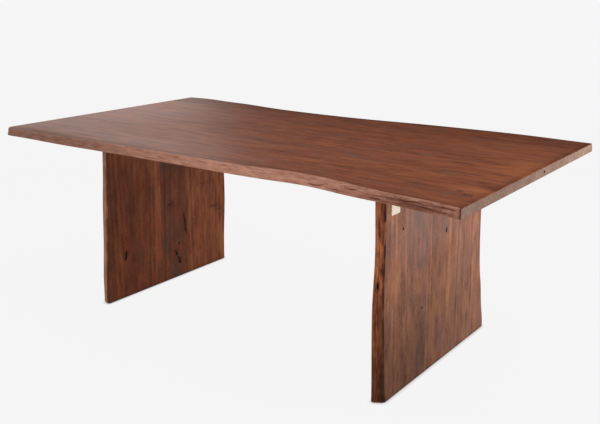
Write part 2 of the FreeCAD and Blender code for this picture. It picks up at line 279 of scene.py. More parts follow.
@dataclass(frozen=True)
class AcaciaFinish(Finish):
    """Acacia heartwood, planed, stained and satin lacquered.

    The eye sees streaks a few millimetres wide on broader blotches, arches where the growth rings are cut at
    a slant, warm and grey places, dark pores and a soft sheen.
    """

    dark: str
    body: str
    light: str
    layers: tuple[Streaks, ...] = LEG_FIGURE
    golden: str = "#A0633B"
    grey: str = "#6E564C"
    knot: str = "#1A0D08"
    ring_mm: float = 11.0
    ring_weight: float = 0.7
    ring_octaves: float = 2.0
    sway_mm: float = 16.0
    contrast: float = 2.6
    spread: float = 1.2
    drift: float = 0.9
    pores: float = 0.6
    pores_from: float = 0.66
    pores_to: float = 0.8
    roughness: float = 0.44
    rough_range: float = 0.22
    gloss: float = 0.2
    lustre: float = 0.9
    rubbed: float = 0.7
    bump: float = 0.6
    bump_mm: float = 0.25

    def shader(self, add: Add) -> Socket:
        """Shader on the board's own grain and tone.

        Rings are bands of noise by distance from the pith, the other layers are noise drawn out along the
        grain, and their weighted sum picks a colour from dark to light. The gloss follows the figure, and
        falls where the wood is dark or warm.

        Args:
            add: add_node, bound to the material's tree.

        Returns:
            The shader.
        """
        grain, tone = board_marks(add)
        sway = self.sway_mm * MM
        wander = WANDER.noise(add, grain, "Color")
        place = add("VectorMath", MULTIPLY_ADD, {0: wander, 1: (0.0, sway, sway), 2: grain})
        figure, fibre = self.figure(add, place)
        rough = add("Math", MULTIPLY_ADD, {
            0: fibre, 1: self.rough_range, 2: self.roughness - self.rough_range / 2})
        bump = add("Bump", {}, {"Strength": self.bump, "Distance": self.bump_mm * MM, "Height": fibre})
        sheen = add("Math", MULTIPLY_ADD, {0: figure, 1: self.lustre, 2: 1 - self.lustre / 2})
        shine = add("Math", MULTIPLY, {0: sheen, 1: tone[0]})
        worn = add("Math", {**MULTIPLY_ADD, "use_clamp": True}, {
            0: tone[1], 1: -self.rubbed * self.gloss, 2: self.gloss})
        gloss = add("Math", MULTIPLY, {0: shine, 1: worn})
        return add("BsdfPrincipled", {}, {
            "Base Color": self.colour(add, place, figure, tone), "Roughness": rough, "Normal": bump,
            "IOR": LACQUER_IOR, "Specular IOR Level": gloss})

    def figure(self, add: Add, place: Socket) -> tuple[Socket, Socket]:
        """Figure of the wood.

        Args:
            add: add_node, bound to the material's tree.
            place: Place along, across and through the swayed grain, in metres.

        Returns:
            The figure, from 0, dark, to 1, light, and the fine fibre alone.
        """
        flat = add("VectorMath", MULTIPLY, {0: place, 1: (0.0, 1.0, 1.0)})
        radius = add("VectorMath", LENGTH, {0: flat}, "Value")
        turns = add("Math", MULTIPLY, {0: radius, 1: 1 / (self.ring_mm * MM)})
        rings = add("TexNoise", {"noise_dimensions": "1D"}, {
            "W": turns, "Scale": 1.0, "Detail": self.ring_octaves})
        total = add("Math", MULTIPLY, {0: rings, 1: self.ring_weight})
        for layer in self.layers:
            noise = layer.noise(add, place)
            total = add("Math", MULTIPLY_ADD, {0: noise, 1: layer.weight, 2: total})
        middle = 0.5 * (self.ring_weight + sum(layer.weight for layer in self.layers))
        half = self.spread / self.contrast
        figure = add("MapRange", {}, {"Value": total, "From Min": middle - half, "From Max": middle + half})
        return figure, noise

    def colour(self, add: Add, place: Socket, figure: Socket, tone: tuple[Socket, ...]) -> Socket:
        """Colour of the wood.

        Args:
            add: add_node, bound to the material's tree.
            place: Place along, across and through the swayed grain, in metres.
            figure: Figure of the wood, from 0, dark, to 1, light.
            tone: Lightness, warmth and knot shade.

        Returns:
            The colour.
        """
        lower = add("Math", MULTIPLY, {0: figure, 1: 2.0})
        upper = add("Math", MULTIPLY_ADD, {0: figure, 1: 2.0, 2: -1.0})
        drift = DRIFT.noise(add, place)
        centred = add("Math", MULTIPLY_ADD, {0: drift, 1: 2 * self.drift, 2: -self.drift})
        warm = add("Math", PLUS, {0: centred, 1: tone[1]})
        cool = add("Math", MULTIPLY, {0: warm, 1: -1.0})
        coats = ((lower, self.body), (upper, self.light), (warm, self.golden), (cool, self.grey))
        specks = PORES.noise(add, place)
        pores = add("MapRange", {}, {
            "Value": specks, "From Min": self.pores_from, "From Max": self.pores_to, "To Max": self.pores})
        return toned(add, layered(add, linear(self.dark), coats), tone, pores, self.knot)


@dataclass(frozen=True)
class NaturalEdgeFinish(Finish):
    """Acacia sapwood under the bark, scraped clean and satin lacquered.

    The eye sees a pale mottled skin, with dark lines where the hollows keep their stain and carry painted
    shade.
    """

    pale: str
    body: str
    hollow: str
    heart: str = "#7C402B"
    mottle_mm: float = 14.0
    mottle_octaves: float = 4.0
    line_weight: float = 0.9
    pale_from: float = 0.7
    pale_to: float = 1.2
    grooves: float = 0.6
    grooves_from: float = 0.4
    grooves_to: float = 0.25
    roughness: float = 0.45
    rough_range: float = 0.3
    gloss: float = 0.08
    bump: float = 0.7
    bump_mm: float = 0.6

    def shader(self, add: Add) -> Socket:
        """Shader on the board's own grain and tone.

        Blotches three times as long as wide and lines along the edge pick from body colour to pale, and the
        lines' lows and the tone's knot shade darken what lies deep.

        Args:
            add: add_node, bound to the material's tree.

        Returns:
            The shader.
        """
        grain, tone = board_marks(add)
        blotch = Streaks(3 * self.mottle_mm, self.mottle_mm, self.mottle_octaves).noise(add, grain)
        lines = EDGE_LINES.noise(add, grain)
        total = add("Math", MULTIPLY_ADD, {0: lines, 1: self.line_weight, 2: blotch})
        share = add("MapRange", {}, {"Value": total, "From Min": self.pale_from, "From Max": self.pale_to})
        grooves = add("MapRange", {}, {
            "Value": lines, "From Min": self.grooves_from, "From Max": self.grooves_to,
            "To Max": self.grooves})
        skin = layered(add, linear(self.body), ((share, self.pale), (tone[1], self.heart)))
        rough = add("Math", MULTIPLY_ADD, {
            0: blotch, 1: self.rough_range, 2: self.roughness - self.rough_range / 2})
        bump = add("Bump", {}, {"Strength": self.bump, "Distance": self.bump_mm * MM, "Height": total})
        return add("BsdfPrincipled", {}, {
            "Base Color": toned(add, skin, tone, grooves, self.hollow), "Roughness": rough, "Normal": bump,
            "IOR": LACQUER_IOR, "Specular IOR Level": self.gloss})


@dataclass(frozen=True)
class PlainFinish(Finish):
    """A coated, plated or moulded surface with a fine even grain.

    The eye sees one colour that wanders a little, and a gloss broken up by the grain.
    """

    colour: str
    shade: str
    grain_mm: float
    roughness: float
    metallic: float = 0.0
    bump_mm: float = 0.05
    gloss: float = 0.5
    broad: float = 12.0
    octaves: float = 2.0
    rough_range: float = 0.2
    bump: float = 0.5

    def shader(self, add: Add) -> Socket:
        """Shader on Object coordinates: a fine noise times a broad one picks between colour and shade.

        Args:
            add: add_node, bound to the material's tree.

        Returns:
            The shader.
        """
        place = add("TexCoord", {}, {}, "Object")
        sizes = (self.grain_mm, self.broad * self.grain_mm)
        fine, broad = (Streaks(size, size, self.octaves).noise(add, place) for size in sizes)
        share = add("Math", MULTIPLY, {0: fine, 1: broad})
        rough = add("Math", MULTIPLY_ADD, {
            0: broad, 1: self.rough_range, 2: self.roughness - self.rough_range / 2})
        bump = add("Bump", {}, {"Strength": self.bump, "Distance": self.bump_mm * MM, "Height": fine})
        return add("BsdfPrincipled", {}, {
            "Base Color": layered(add, linear(self.colour), ((share, self.shade),)), "Roughness": rough,
            "Normal": bump, "Metallic": self.metallic, "Specular IOR Level": self.gloss})


@dataclass(frozen=True)
class FloorFinish(Finish):
    """Matt pale studio floor that fades into the background.

    The eye sees the background's colour, a little darker in the table's own soft shadow and dark close below
    its legs.
    """

    name: str = "floor_paint_rolled_matt"
    keep: float = 0.97
    fade_from: float = 3.0
    fade_to: float = 9.0
    contact_mm: float = 14.0
    samples: int = 8

    def shader(self, add: Add) -> Socket:
        """Shader that mixes lit floor and plain background by how the ray came and how far out it fell.

        Args:
            add: add_node, bound to the material's tree.

        Returns:
            The shader.
        """
        place = add("TexCoord", {}, {}, "Object")
        distance = add("VectorMath", LENGTH, {0: place}, "Value")
        share = add("MapRange", {}, {
            "Value": distance, "From Min": self.fade_from, "From Max": self.fade_to, "To Min": self.keep})
        clear = add("AmbientOcclusion", {"samples": self.samples}, {"Distance": self.contact_mm * MM}, "AO")
        kept = add("Math", MULTIPLY, {0: share, 1: clear})
        plain = add("Math", MULTIPLY, {0: kept, 1: seen_by_ray(add)})
        matt = add("BsdfDiffuse", {}, {"Color": linear(BACKGROUND)})
        glow = add("Emission", {}, {"Color": linear(BACKGROUND), "Strength": 1.0})
        return add("MixShader", {}, {0: plain, 1: matt, 2: glow})


# Sawn end grain: short streaks, greyer and duller than the faces
SAWN_END = AcaciaFinish("acacia_sawn_end", "#6B4E41", "#8B6D5E", "#A48677", END_FIGURE, ring_weight=0.25,
                        contrast=2.4, drift=0.5, gloss=0.08)
# Zinc plate: a bright grey metal, faintly cloudy. Moulded nylon: black with a soft sheen.
ZINC = PlainFinish("steel_zinc_plated", "#B9BABD", "#9B9DA1", 1.5, 0.35, metallic=1.0)
NYLON = PlainFinish("nylon_moulded_black", "#1E1E1F", "#2B2B2C", 1.0, 0.55)
# Moulded plate: an even cream with a satin sheen
IVORY = PlainFinish("abs_moulded_ivory", "#FBF0D8", "#F0E2C4", 2.5, 0.5)
# Wood filler: black and all but matt where scraped into cracks, brown and blotched where sanded over knots
FILLER = PlainFinish("wood_filler_scraped_black", "#0E0806", "#1A100B", 3.0, 0.6, gloss=0.05)
KNOT_FILLER = PlainFinish("wood_filler_sanded_brown", "#6E5246", "#2E1A12", 5.0, 0.5, gloss=0.2)
# Turned beech: pale and matt. Powder coat: black, with a fine pitted sheen. Flag cloth: matt black.
BEECH = PlainFinish("beech_dowel_turned", "#C8A27C", "#B08860", 2.0, 0.6)
POWDER_COAT = PlainFinish("steel_black_powder_coat", "#19191A", "#262627", 1.2, 0.5, bump_mm=0.1)
FLAG_CLOTH = PlainFinish("cotton_woven_black", "#0A0A0A", "#141414", 20.0, 0.9)


def smoothstep(share: np.ndarray) -> np.ndarray:
    """Ramp from 0 to 1 that is level at both ends."""
    held = np.clip(share, 0.0, 1.0)
    return held * held * (3 - 2 * held)


def smooth_noise(along: np.ndarray, across: np.ndarray, seed: int) -> np.ndarray:
    """Value noise: each corner of a unit lattice holds a random number, and a point blends its four corners.

    Args:
        along: First coordinate, in lattice steps.
        across: Second coordinate, in lattice steps.
        seed: Seed of the corner numbers.

    Returns:
        Noise from 0 to 1, in the shape that the two coordinates broadcast to.
    """
    table = np.random.default_rng(seed).random((NOISE_PERIOD, NOISE_PERIOD))
    column = np.floor(along).astype(int)
    row = np.floor(across).astype(int)
    p = smoothstep(along - column)
    q = smoothstep(across - row)
    rows = (row % NOISE_PERIOD, (row + 1) % NOISE_PERIOD)
    columns = (column % NOISE_PERIOD, (column + 1) % NOISE_PERIOD)
    near, far = (table[place, rows[0]] * (1 - q) + table[place, rows[1]] * q for place in columns)
    return near * (1 - p) + far * p


def quarter_circle(distance: np.ndarray, radius: float) -> np.ndarray:
    """How far a rounded corner falls back at a distance from the end, from its radius there to nothing."""
    left = np.clip(radius - distance, 0, radius)
    return radius - np.sqrt(radius ** 2 - left ** 2)


def tree_place(name: str) -> float:
    """Place of a board along its tree, worked out from its name, the same on each run."""
    return TREE_STEP * (sum((place + 3) * ord(letter) for place, letter in enumerate(name)) % TREE_STEPS)


def packed_box(node: str) -> tuple[np.ndarray, np.ndarray]:
    """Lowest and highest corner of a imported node."""
    low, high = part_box(node)
    return np.array(low), np.array(high)


def mesh_piece(name: str, points: np.ndarray, faces: list[np.ndarray]) -> Piece:
    """Mesh object at the origin.

    Args:
        name: Name of the piece.
        points: Places of the vertices.
        faces: Vertex numbers of single polygons, and of quads with a row each.

    Returns:
        The object, linked into the scene.
    """
    corners = np.concatenate([face.ravel() for face in faces])
    sizes = np.concatenate([[len(face)] if face.ndim == 1 else np.full(len(face), 4) for face in faces])
    mesh = bpy.data.meshes.new(name)
    mesh.vertices.add(points.size // 3)
    mesh.vertices.foreach_set("co", points.astype(np.float32).ravel())
    mesh.loops.add(len(corners))
    mesh.loops.foreach_set("vertex_index", corners.astype(np.int32))
    mesh.polygons.add(len(sizes))
    mesh.polygons.foreach_set("loop_start", (np.cumsum(sizes) - sizes).astype(np.int32))
    mesh.update(calc_edges=True)
    mesh.validate()
    piece = bpy.data.objects.new(name, mesh)
    bpy.context.scene.collection.objects.link(piece)
    return piece


def grid_quads(rows: int, columns: int, closed: bool) -> np.ndarray:
    """Quads of a grid of vertices numbered row by row.

    Args:
        rows: Number of rows.
        columns: Number of columns.
        closed: Whether the last column joins the first.

    Returns:
        Four vertex numbers for each quad, column first, then row.
    """
    row = np.arange(rows - 1)[:, None] * columns
    column = np.arange(columns if closed else columns - 1)[None, :]
    following = (column + 1) % columns
    quads = [row + column, row + following, row + columns + following, row + columns + column]
    return np.stack(np.broadcast_arrays(*quads), axis=-1).reshape(-1, 4)


def capped_rings(name: str, points: np.ndarray) -> Piece:
    """Closed piece from rings of points, each joined to the next, with a polygon over the first and the last.

    Args:
        name: Name of the piece.
        points: Points, a row for each ring, each counterclockwise as seen from the last ring's side.

    Returns:
        The piece, shaded smooth but for its two polygons.
    """
    rings, around = points.shape[:2]
    quads = grid_quads(rings, around, closed=True)
    first = np.arange(around)[::-1]
    last = np.arange(around) + (rings - 1) * around
    piece = mesh_piece(name, points, [quads, first, last])
    piece.data.polygons.foreach_set("use_smooth", np.append(np.full(len(quads), True), [False, False]))
    return piece


def set_attribute(mesh: bpy.types.Mesh, name: str, vectors: np.ndarray) -> None:
    """Store a vector on each vertex under an attribute's name."""
    attribute = mesh.attributes.new(name, "FLOAT_VECTOR", "POINT")
    attribute.data.foreach_set("vector", vectors.astype(np.float32).ravel())


def hand_over(piece: Piece, body: str, node: str) -> Piece:
    """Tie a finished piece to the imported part.

    Args:
        piece: Finished piece.
        body: Body that it moves with.
        node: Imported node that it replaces.

    Returns:
        The piece.
    """
    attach(piece, body)
    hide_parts(node)
    return piece


def packed_arris(node: str, lay: Lay, level: float, side: Side, stations: np.ndarray) -> np.ndarray:
    """Natural arris of a packed board.

    Every triangle edge that lies in the face's plane is cut at each station along the grain, and the cut that
    is furthest out is the arris.

    Args:
        node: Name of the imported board.
        lay: How the board lies.
        level: Place of the face through the board.
        side: Side of the natural edge.
        stations: Places along the grain.

    Returns:
        Place of the arris across the board at each station.
    """
    in_plane = 0.02 * MM
    least_run = 0.001 * MM
    slack = 0.0001
    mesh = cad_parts[node].data
    mesh.calc_loop_triangles()
    points = np.empty(len(mesh.vertices) * 3)
    mesh.vertices.foreach_get("co", points)
    triangles = np.empty(len(mesh.loop_triangles) * 3, dtype=np.int32)
    mesh.loop_triangles.foreach_get("vertices", triangles)
    edges = triangles.reshape(-1, 3)[:, [[0, 1], [1, 2], [2, 0]]].reshape(-1, 2)
    ends = lay.swap(points.reshape(-1, 3))[edges]
    in_face = np.all(np.abs(ends[:, :, 2] - level) < in_plane, axis=1)
    runs = np.abs(ends[:, 1, 0] - ends[:, 0, 0]) > least_run
    start, end = np.moveaxis(ends[in_face & runs], 1, 0)
    share = (stations[:, None] - start[:, 0]) / (end[:, 0] - start[:, 0])
    cuts = start[:, 1] + share * (end[:, 1] - start[:, 1])
    reached = (share > -slack) & (share < 1 + slack)
    return side.value * np.where(reached, side.value * cuts, -np.inf).max(axis=1)


@dataclass(frozen=True)
class Crack:
    """Filled crack or knot in a board's upper or +X face, in millimetres, turned from the grain to +Y."""

    along: float
    across: float
    length: float
    width: float
    turn: float = 0.0
    depth: float = 2.5
    halo: float = 0.5
    taper: float = 0.0
    spare: float = 1.3
    bends: float = 3.0
    teeth: float = 7.0
    ragged: float = 0.6
    lip: float = 0.7
    noise_from: float = 9.0

    def reach(self) -> list[float]:
        """Half the room that the crack and its shade take along and across the grain."""
        ways = (math.cos(math.radians(self.turn)), math.sin(math.radians(self.turn)))
        return [abs(0.5 * self.length * way) + self.spare * self.width for way in ways]

    def marks(self, along: np.ndarray, across: np.ndarray) -> tuple[np.ndarray, np.ndarray]:
        """Hollow and shade of the crack.

        The hollow is a spindle about a wandering line: its half width falls with the fourth power of the
        distance from the middle, is broken up by noise and grows towards one end. The shade falls away from
        it as a bell curve.

        Args:
            along: Places along the grain, in millimetres.
            across: Places across the grain, in millimetres.

        Returns:
            Depth of the hollow in millimetres, and the shade from 0 to 1.
        """
        angle = math.radians(self.turn)
        east = along - self.along
        north = across - self.across
        run = (east * math.cos(angle) + north * math.sin(angle)) / (0.5 * self.length)
        off = north * math.cos(angle) - east * math.sin(angle)
        seed = int(self.along) + int(self.length)
        level = np.zeros_like(run)
        wander = (smooth_noise(self.bends * run + self.noise_from, level, seed) - 0.5) * 0.5 * self.width
        ragged = self.ragged + self.ragged * smooth_noise(self.teeth * run + self.noise_from, level, seed + 1)
        growth = (1 + self.taper * run) / (1 + abs(self.taper))
        half = 0.5 * self.width * np.clip(1 - run ** 4, 0, None) * ragged * growth
        opened = smoothstep((half - np.abs(off - wander)) / self.lip)
        shade = np.exp(-run ** 4 - (off / self.width) ** 2)
        return self.depth * opened, np.maximum(opened, self.halo * shade)


@dataclass(frozen=True)
class Patch:
    """Place on a board, in millimetres, with a tone or a lift of its rings that fades out as a bell curve."""

    along: float
    across: float
    length: float
    width: float
    light: float = 0.0
    warm: float = 0.0
    dark: float = 0.0
    rise: float = 0.0

    def strength(self, along: np.ndarray, across: np.ndarray) -> np.ndarray:
        """Bell curve of the distance from the patch's middle, in its own half sizes."""
        return np.exp(-((along - self.along) / (0.5 * self.length)) ** 2
                      - ((across - self.across) / (0.5 * self.width)) ** 2)

    def changes(self) -> np.ndarray:
        """Change of lightness, warmth, knot shade and ring height at the patch's middle."""
        return np.array([self.light, self.warm, self.dark, self.rise])


@dataclass(frozen=True)
class Fissure:
    """Dark split along a natural edge, in millimetres, at a share of the way up the edge."""

    place: float
    length: float
    level: float
    depth: float = 4.5
    width: float = 0.07


@dataclass(frozen=True)
class EdgeNoise:
    """Noise over a natural edge: its length along the grain, its rows up the edge, and which draw it is."""

    length_mm: float
    rows: float
    draw: int
    noise_from: float = 20.0

    def at(self, along: np.ndarray, height: np.ndarray, seed: int) -> np.ndarray:
        """Noise from 0 to 1 at places along the grain, in millimetres, and shares of the way up the edge."""
        return smooth_noise(along / self.length_mm + self.noise_from, self.rows * height, seed + self.draw)


SWAY = EdgeNoise(90, 0, 0)
BROAD = EdgeNoise(120, 1.7, 1)
RIPPLE = EdgeNoise(28, 3, 2)
STRENGTH = EdgeNoise(70, 2, 3)
FINE = EdgeNoise(7, 12, 4)
RAGGED = EdgeNoise(35, 5, 5)


@dataclass(frozen=True)
class Relief:
    """Hollows of a natural edge, in millimetres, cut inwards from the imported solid's ruled face.

    A tint is a patch whose place across counts hundredths of the way up the edge.
    """

    seed: int
    swell: float = 2.0
    ridge: float = 1.6
    ridge_rows: float = 4.0
    ridge_sway: float = 1.6
    ridge_ripple: float = 0.5
    grit: float = 0.5
    layers: float = 0.0
    layers_from: float = 0.0
    layers_run: float = 200.0
    layer_rows: float = 2.6
    layer_sway: float = 1.3
    layer_ripple: float = 0.8
    rough: float = 0.0
    split_wander: float = 0.2
    arris_dark: float = 0.0
    arris_from: float = 0.5
    arris_ragged: float = 0.4
    arris_fade: float = 0.2
    hollow_from: float = 2.4
    hollow_run: float = 3.5
    hollow_stain_and_shade: float = 0.48
    light: float = 1.0
    fissures: tuple[Fissure, ...] = ()
    tints: tuple[Patch, ...] = ()

    def depth(self, along: np.ndarray, height: np.ndarray) -> np.ndarray:
        """Depth of the hollows.

        Broad noise makes the swells. Ridges are a triangle wave up the edge whose rows sway along the grain.
        Layers are a saw wave that grows towards one end, broken up by noise, with roughness from a fine
        noise. A fissure is a narrow bell curve across the edge, as long as it is stated.

        Args:
            along: Places along the grain in millimetres, one row each.
            height: Share of the way up the edge, one column each.

        Returns:
            Depth in millimetres.
        """
        noises = (SWAY, BROAD, RIPPLE, STRENGTH, FINE)
        sway, broad, ripple, strength, fine = (noise.at(along, height, self.seed) for noise in noises)
        rows = self.ridge_rows * height + self.ridge_sway * sway + self.ridge_ripple * ripple
        ridges = 1 - np.abs(2 * (rows % 1.0) - 1)
        depth = self.swell * broad + self.ridge * ridges * strength + self.grit * fine
        ramp = smoothstep((along - self.layers_from) / self.layers_run)
        saw = (self.layer_rows * height + self.layer_sway * sway + self.layer_ripple * ripple) % 1.0
        depth = depth + ramp * (self.layers * strength * saw ** 2 + self.rough * fine ** 2)
        for split in self.fissures:
            wander = split.level + self.split_wander * (ripple - 0.5)
            run = np.clip(1 - ((along - split.place) / (0.5 * split.length)) ** 2, 0, None)
            depth = depth + split.depth * run * np.exp(-((height - wander) / split.width) ** 2)
        return depth

    def tones(self, along: np.ndarray, height: np.ndarray, depth: np.ndarray) -> np.ndarray:
        """Tones of the edge: deep hollows are dark, and so is a ragged band along its upper or +X arris.

        Args:
            along: Places along the grain in millimetres, one row each.
            height: Share of the way up the edge, one column each.
            depth: Depth of the hollows in millimetres.

        Returns:
            Lightness, warmth, knot shade and ring height at each point.
        """
        ragged = RAGGED.at(along, height, self.seed)
        band_from = height - self.arris_from - self.arris_ragged * ragged
        band = self.arris_dark * smoothstep(band_from / self.arris_fade)
        # Stain kept in the deep hollows, and painted shade in them
        hollow = np.clip((depth - self.hollow_from) / self.hollow_run, 0, self.hollow_stain_and_shade)
        tones = np.zeros(depth.shape + (4,))
        tones[..., 0] = self.light
        tones[..., 2] = np.maximum(band, hollow)
        for tint in self.tints:
            tones += tint.strength(along, 100 * height + 0 * along)[..., None] * tint.changes()
        return tones


@dataclass(frozen=True)
class Profile:
    """Cross-section of a board: a closed loop of points, counterclockwise as seen against the grain."""

    share: np.ndarray
    shift: np.ndarray
    through: np.ndarray
    normal: np.ndarray
    upper: np.ndarray
    natural: np.ndarray
    curved: np.ndarray


def loop_stretch(share: np.ndarray | float, shift: np.ndarray | float, through: np.ndarray | float,
                 angle: np.ndarray | float, upper: bool = False, natural: bool = False,
                 curved: bool = False) -> np.ndarray:
    """One stretch of a board's cross-section.

    Args:
        share: Shares of the way from the board's front to its back.
        shift: Further moves across the board, in metres.
        through: Levels through the board.
        angle: Outward direction, turned from across to through.
        upper: Whether the stretch is the upper face.
        natural: Whether it is a natural edge.
        curved: Whether it is shaded smooth.

    Returns:
        Rows of shares, shifts, levels, outward directions and marks, one column for each point.
    """
    rows = np.broadcast_arrays(share, shift, through, np.cos(angle), np.sin(angle), upper, natural, curved)
    return np.stack([np.atleast_1d(row).astype(float) for row in rows])


# Lines that a board's mesh has: shares across its two faces, steps of a natural rim and of a patch's sizes,
# steps of a rounded end and of a rounded corner, and rows up its sides
FACE_LINES = np.linspace(0.03, 0.97, 9)
FACE_LIMITS = (0.02, 0.98)
UNDER_LINES = np.linspace(0.06, 0.94, 5)
RIM_STEPS = np.array([1.0, 1.6, 2.4, 3.4])
RIM_ROOM_MM = 1.5
RIM_SLACK = 0.999
PATCH_ROWS = np.linspace(-1, 1, 13)
PATCH_LINES = np.linspace(-1, 1, 9)
END_STEPS = 1 - np.cos(np.linspace(0, QUARTER, 7))
CORNER_STEPS = np.linspace(0, QUARTER, 4)
EDGE_ROWS = 30
SEAM_ROWS = 3
ARRIS_STATIONS = 60
# How a natural edge's hollows fade at its ends and arrises, and how much of a turned-in corner its lower
# arris takes
END_FADE_MM = 30.0
ARRIS_FADE = 0.12
LOWER_TURN = 0.3
# Recesses: room round a pad and an insert, and the radius and depth of a hole's rings as shares of its size
PAD_ROOM_MM = 1.5
SLEEVE_ROOM_MM = 0.1
WELL_SIDES = 32
HOLE_RADII = np.array([1.0, 0.9, 0.6])
HOLE_DEPTHS = np.array([0.0, 0.1, 0.8])


@dataclass
class Board:
    """One board of a slab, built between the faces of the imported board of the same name."""

    node: str
    pith: tuple[float, float, float]
    light: float = 1.0
    warm: float = 0.0
    natural: Side | None = None
    relief: Relief | None = None
    lay: Lay = Lay.UPRIGHT
    foot: str | None = None
    hole: tuple[float, float, float] | None = None
    cracks: tuple[Crack, ...] = ()
    patches: tuple[Patch, ...] = ()
    end_light: float = 1.0
    rim_shade: float = 0.0
    rim_mm: float = 8.0
    corner_rounds: tuple[float, float] = (3.0, 3.0)
    end_round: float = 2.0
    seam_round: float = 0.25
    edge_round: float = 5.0
    fine_step: float = 4.0
    coarse_step: float = 60.0
    mark_step: float = 1.5

    def limits(self, node: str | None = None) -> list[np.ndarray]:
        """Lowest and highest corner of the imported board, or of another node, in board axes."""
        return [self.lay.swap(corner) for corner in packed_box(node or self.node)]

    def stations(self) -> np.ndarray:
        """Places along the grain: even steps, closer ones at the rounded ends, the marks and the patches.

        Returns:
            The places, from the low end to the high end.
        """
        low, high = self.limits()
        step = (self.fine_step if self.natural else self.coarse_step) * MM
        places = [np.linspace(low[0], high[0], int((high[0] - low[0]) / step) + 1)]
        for radius in (self.end_round, *self.corner_rounds):
            places += [low[0] + radius * MM * END_STEPS, high[0] - radius * MM * END_STEPS]
        for mark in self.cracks:
            half = mark.reach()[0]
            places.append((mark.along + np.arange(-half, half, self.mark_step)) * MM)
        places += [(patch.along + PATCH_ROWS * patch.length) * MM for patch in self.patches]
        along = np.concatenate(places)
        inside = along[(along > low[0] + SAME_PLACE) & (along < high[0] - SAME_PLACE)]
        return np.concatenate([low[:1], np.unique(inside.round(PLACE_DIGITS)), high[:1]])

    def face_shares(self) -> np.ndarray:
        """Lines along the upper face: even ones, and closer ones at a natural rim, the marks and the patches.

        Returns:
            Shares of the way from the face's front to its back.
        """
        low, high = self.limits()
        width = high[1] - low[1]
        lines = [FACE_LINES]
        first, last = FACE_LIMITS
        if self.natural:
            near = (self.edge_round + RIM_ROOM_MM) * MM / self.narrowest() * RIM_STEPS
            lines.append(near if self.natural is Side.FRONT else 1 - near)
            first = RIM_SLACK * near[0] if self.natural is Side.FRONT else first
            last = 1 - RIM_SLACK * near[0] if self.natural is Side.BACK else last
        for mark in self.cracks:
            half = mark.reach()[1]
            lines.append(((mark.across + np.arange(-half, half, self.mark_step)) * MM - low[1]) / width)
        for patch in self.patches:
            lines.append(((patch.across + PATCH_LINES * patch.width) * MM - low[1]) / width)
        shares = np.unique(np.concatenate(lines).round(PLACE_DIGITS))
        return shares[(shares > first) & (shares < last)]

    def narrowest(self) -> float:
        """Least width of the board's upper face between its seam and its natural arris.

        Returns:
            The width.
        """
        low, high = self.limits()
        along = np.linspace(low[0], high[0], ARRIS_STATIONS)
        arris = packed_arris(self.node, self.lay, high[2], self.natural, along)
        seam = high[1] if self.natural is Side.FRONT else low[1]
        return float(np.abs(arris - seam).min())

    def profile(self) -> Profile:
        """Loop of the cross-section: lower face, back side, upper face, front side, with rounded corners.

        Returns:
            The loop's points, as shares across the board with a shift in metres.
        """
        low, high = self.limits()
        columns = np.concatenate([
            loop_stretch(UNDER_LINES, 0.0, low[2], -QUARTER),
            self.side_stretch(Side.BACK, low[2], high[2]),
            loop_stretch(self.face_shares()[::-1], 0.0, high[2], QUARTER, upper=True),
            self.side_stretch(Side.FRONT, high[2], low[2]),
        ], axis=1)
        return Profile(*columns[:3], columns[3:5], *(columns[5:] > 0))

    def side_stretch(self, side: Side, first: float, last: float) -> np.ndarray:
        """One side of the loop: a quarter circle, the side itself and another quarter circle.

        Args:
            side: Side of the board.
            first: Level at which the side starts.
            last: Level at which it ends.

        Returns:
            Columns of the loop's points, as loop_stretch gives them.
        """
        is_natural = self.natural is side
        radius = (self.edge_round if is_natural else self.seam_round) * MM
        share = 0.0 if side is Side.FRONT else 1.0
        outward = 0.0 if side is Side.BACK else math.pi
        inward = -side.value * radius
        begin = first + side.value * radius
        finish = last - side.value * radius
        rows = np.linspace(begin, finish, EDGE_ROWS if is_natural else SEAM_ROWS)[1:-1]
        entry, leave = (
            loop_stretch(share, inward + radius * np.cos(arc), level + radius * np.sin(arc), arc,
                         natural=is_natural, curved=True)
            for level, arc in ((begin, outward - QUARTER + CORNER_STEPS), (finish, outward + CORNER_STEPS)))
        flat = loop_stretch(share, 0.0, rows, outward, natural=is_natural, curved=is_natural)
        return np.concatenate([entry, flat, leave], axis=1)

    def side_places(self, side: Side, along: np.ndarray, height: np.ndarray) -> np.ndarray:
        """Place of one side across the board.

        A natural side is ruled between its lower and its upper arris, and turns in by a quarter circle at
        both ends of the board.

        Args:
            side: Side of the board.
            along: Places along the grain.
            height: Share of the way through the board, for each point of the profile.

        Returns:
            One row for each place along, one column for each point of the profile.
        """
        low, high = self.limits()
        if self.natural is not side:
            return np.full((len(along), len(height)), low[1] if side is Side.FRONT else high[1])
        lower, upper = (packed_arris(self.node, self.lay, level, side, along) for level in (low[2], high[2]))
        turned_in = (quarter_circle(along - low[0], self.corner_rounds[0] * MM)
                     + quarter_circle(high[0] - along, self.corner_rounds[1] * MM))
        ruled = lower[:, None] + (upper - lower)[:, None] * height
        return ruled - side.value * turned_in[:, None] * (LOWER_TURN + (1 - LOWER_TURN) * height)

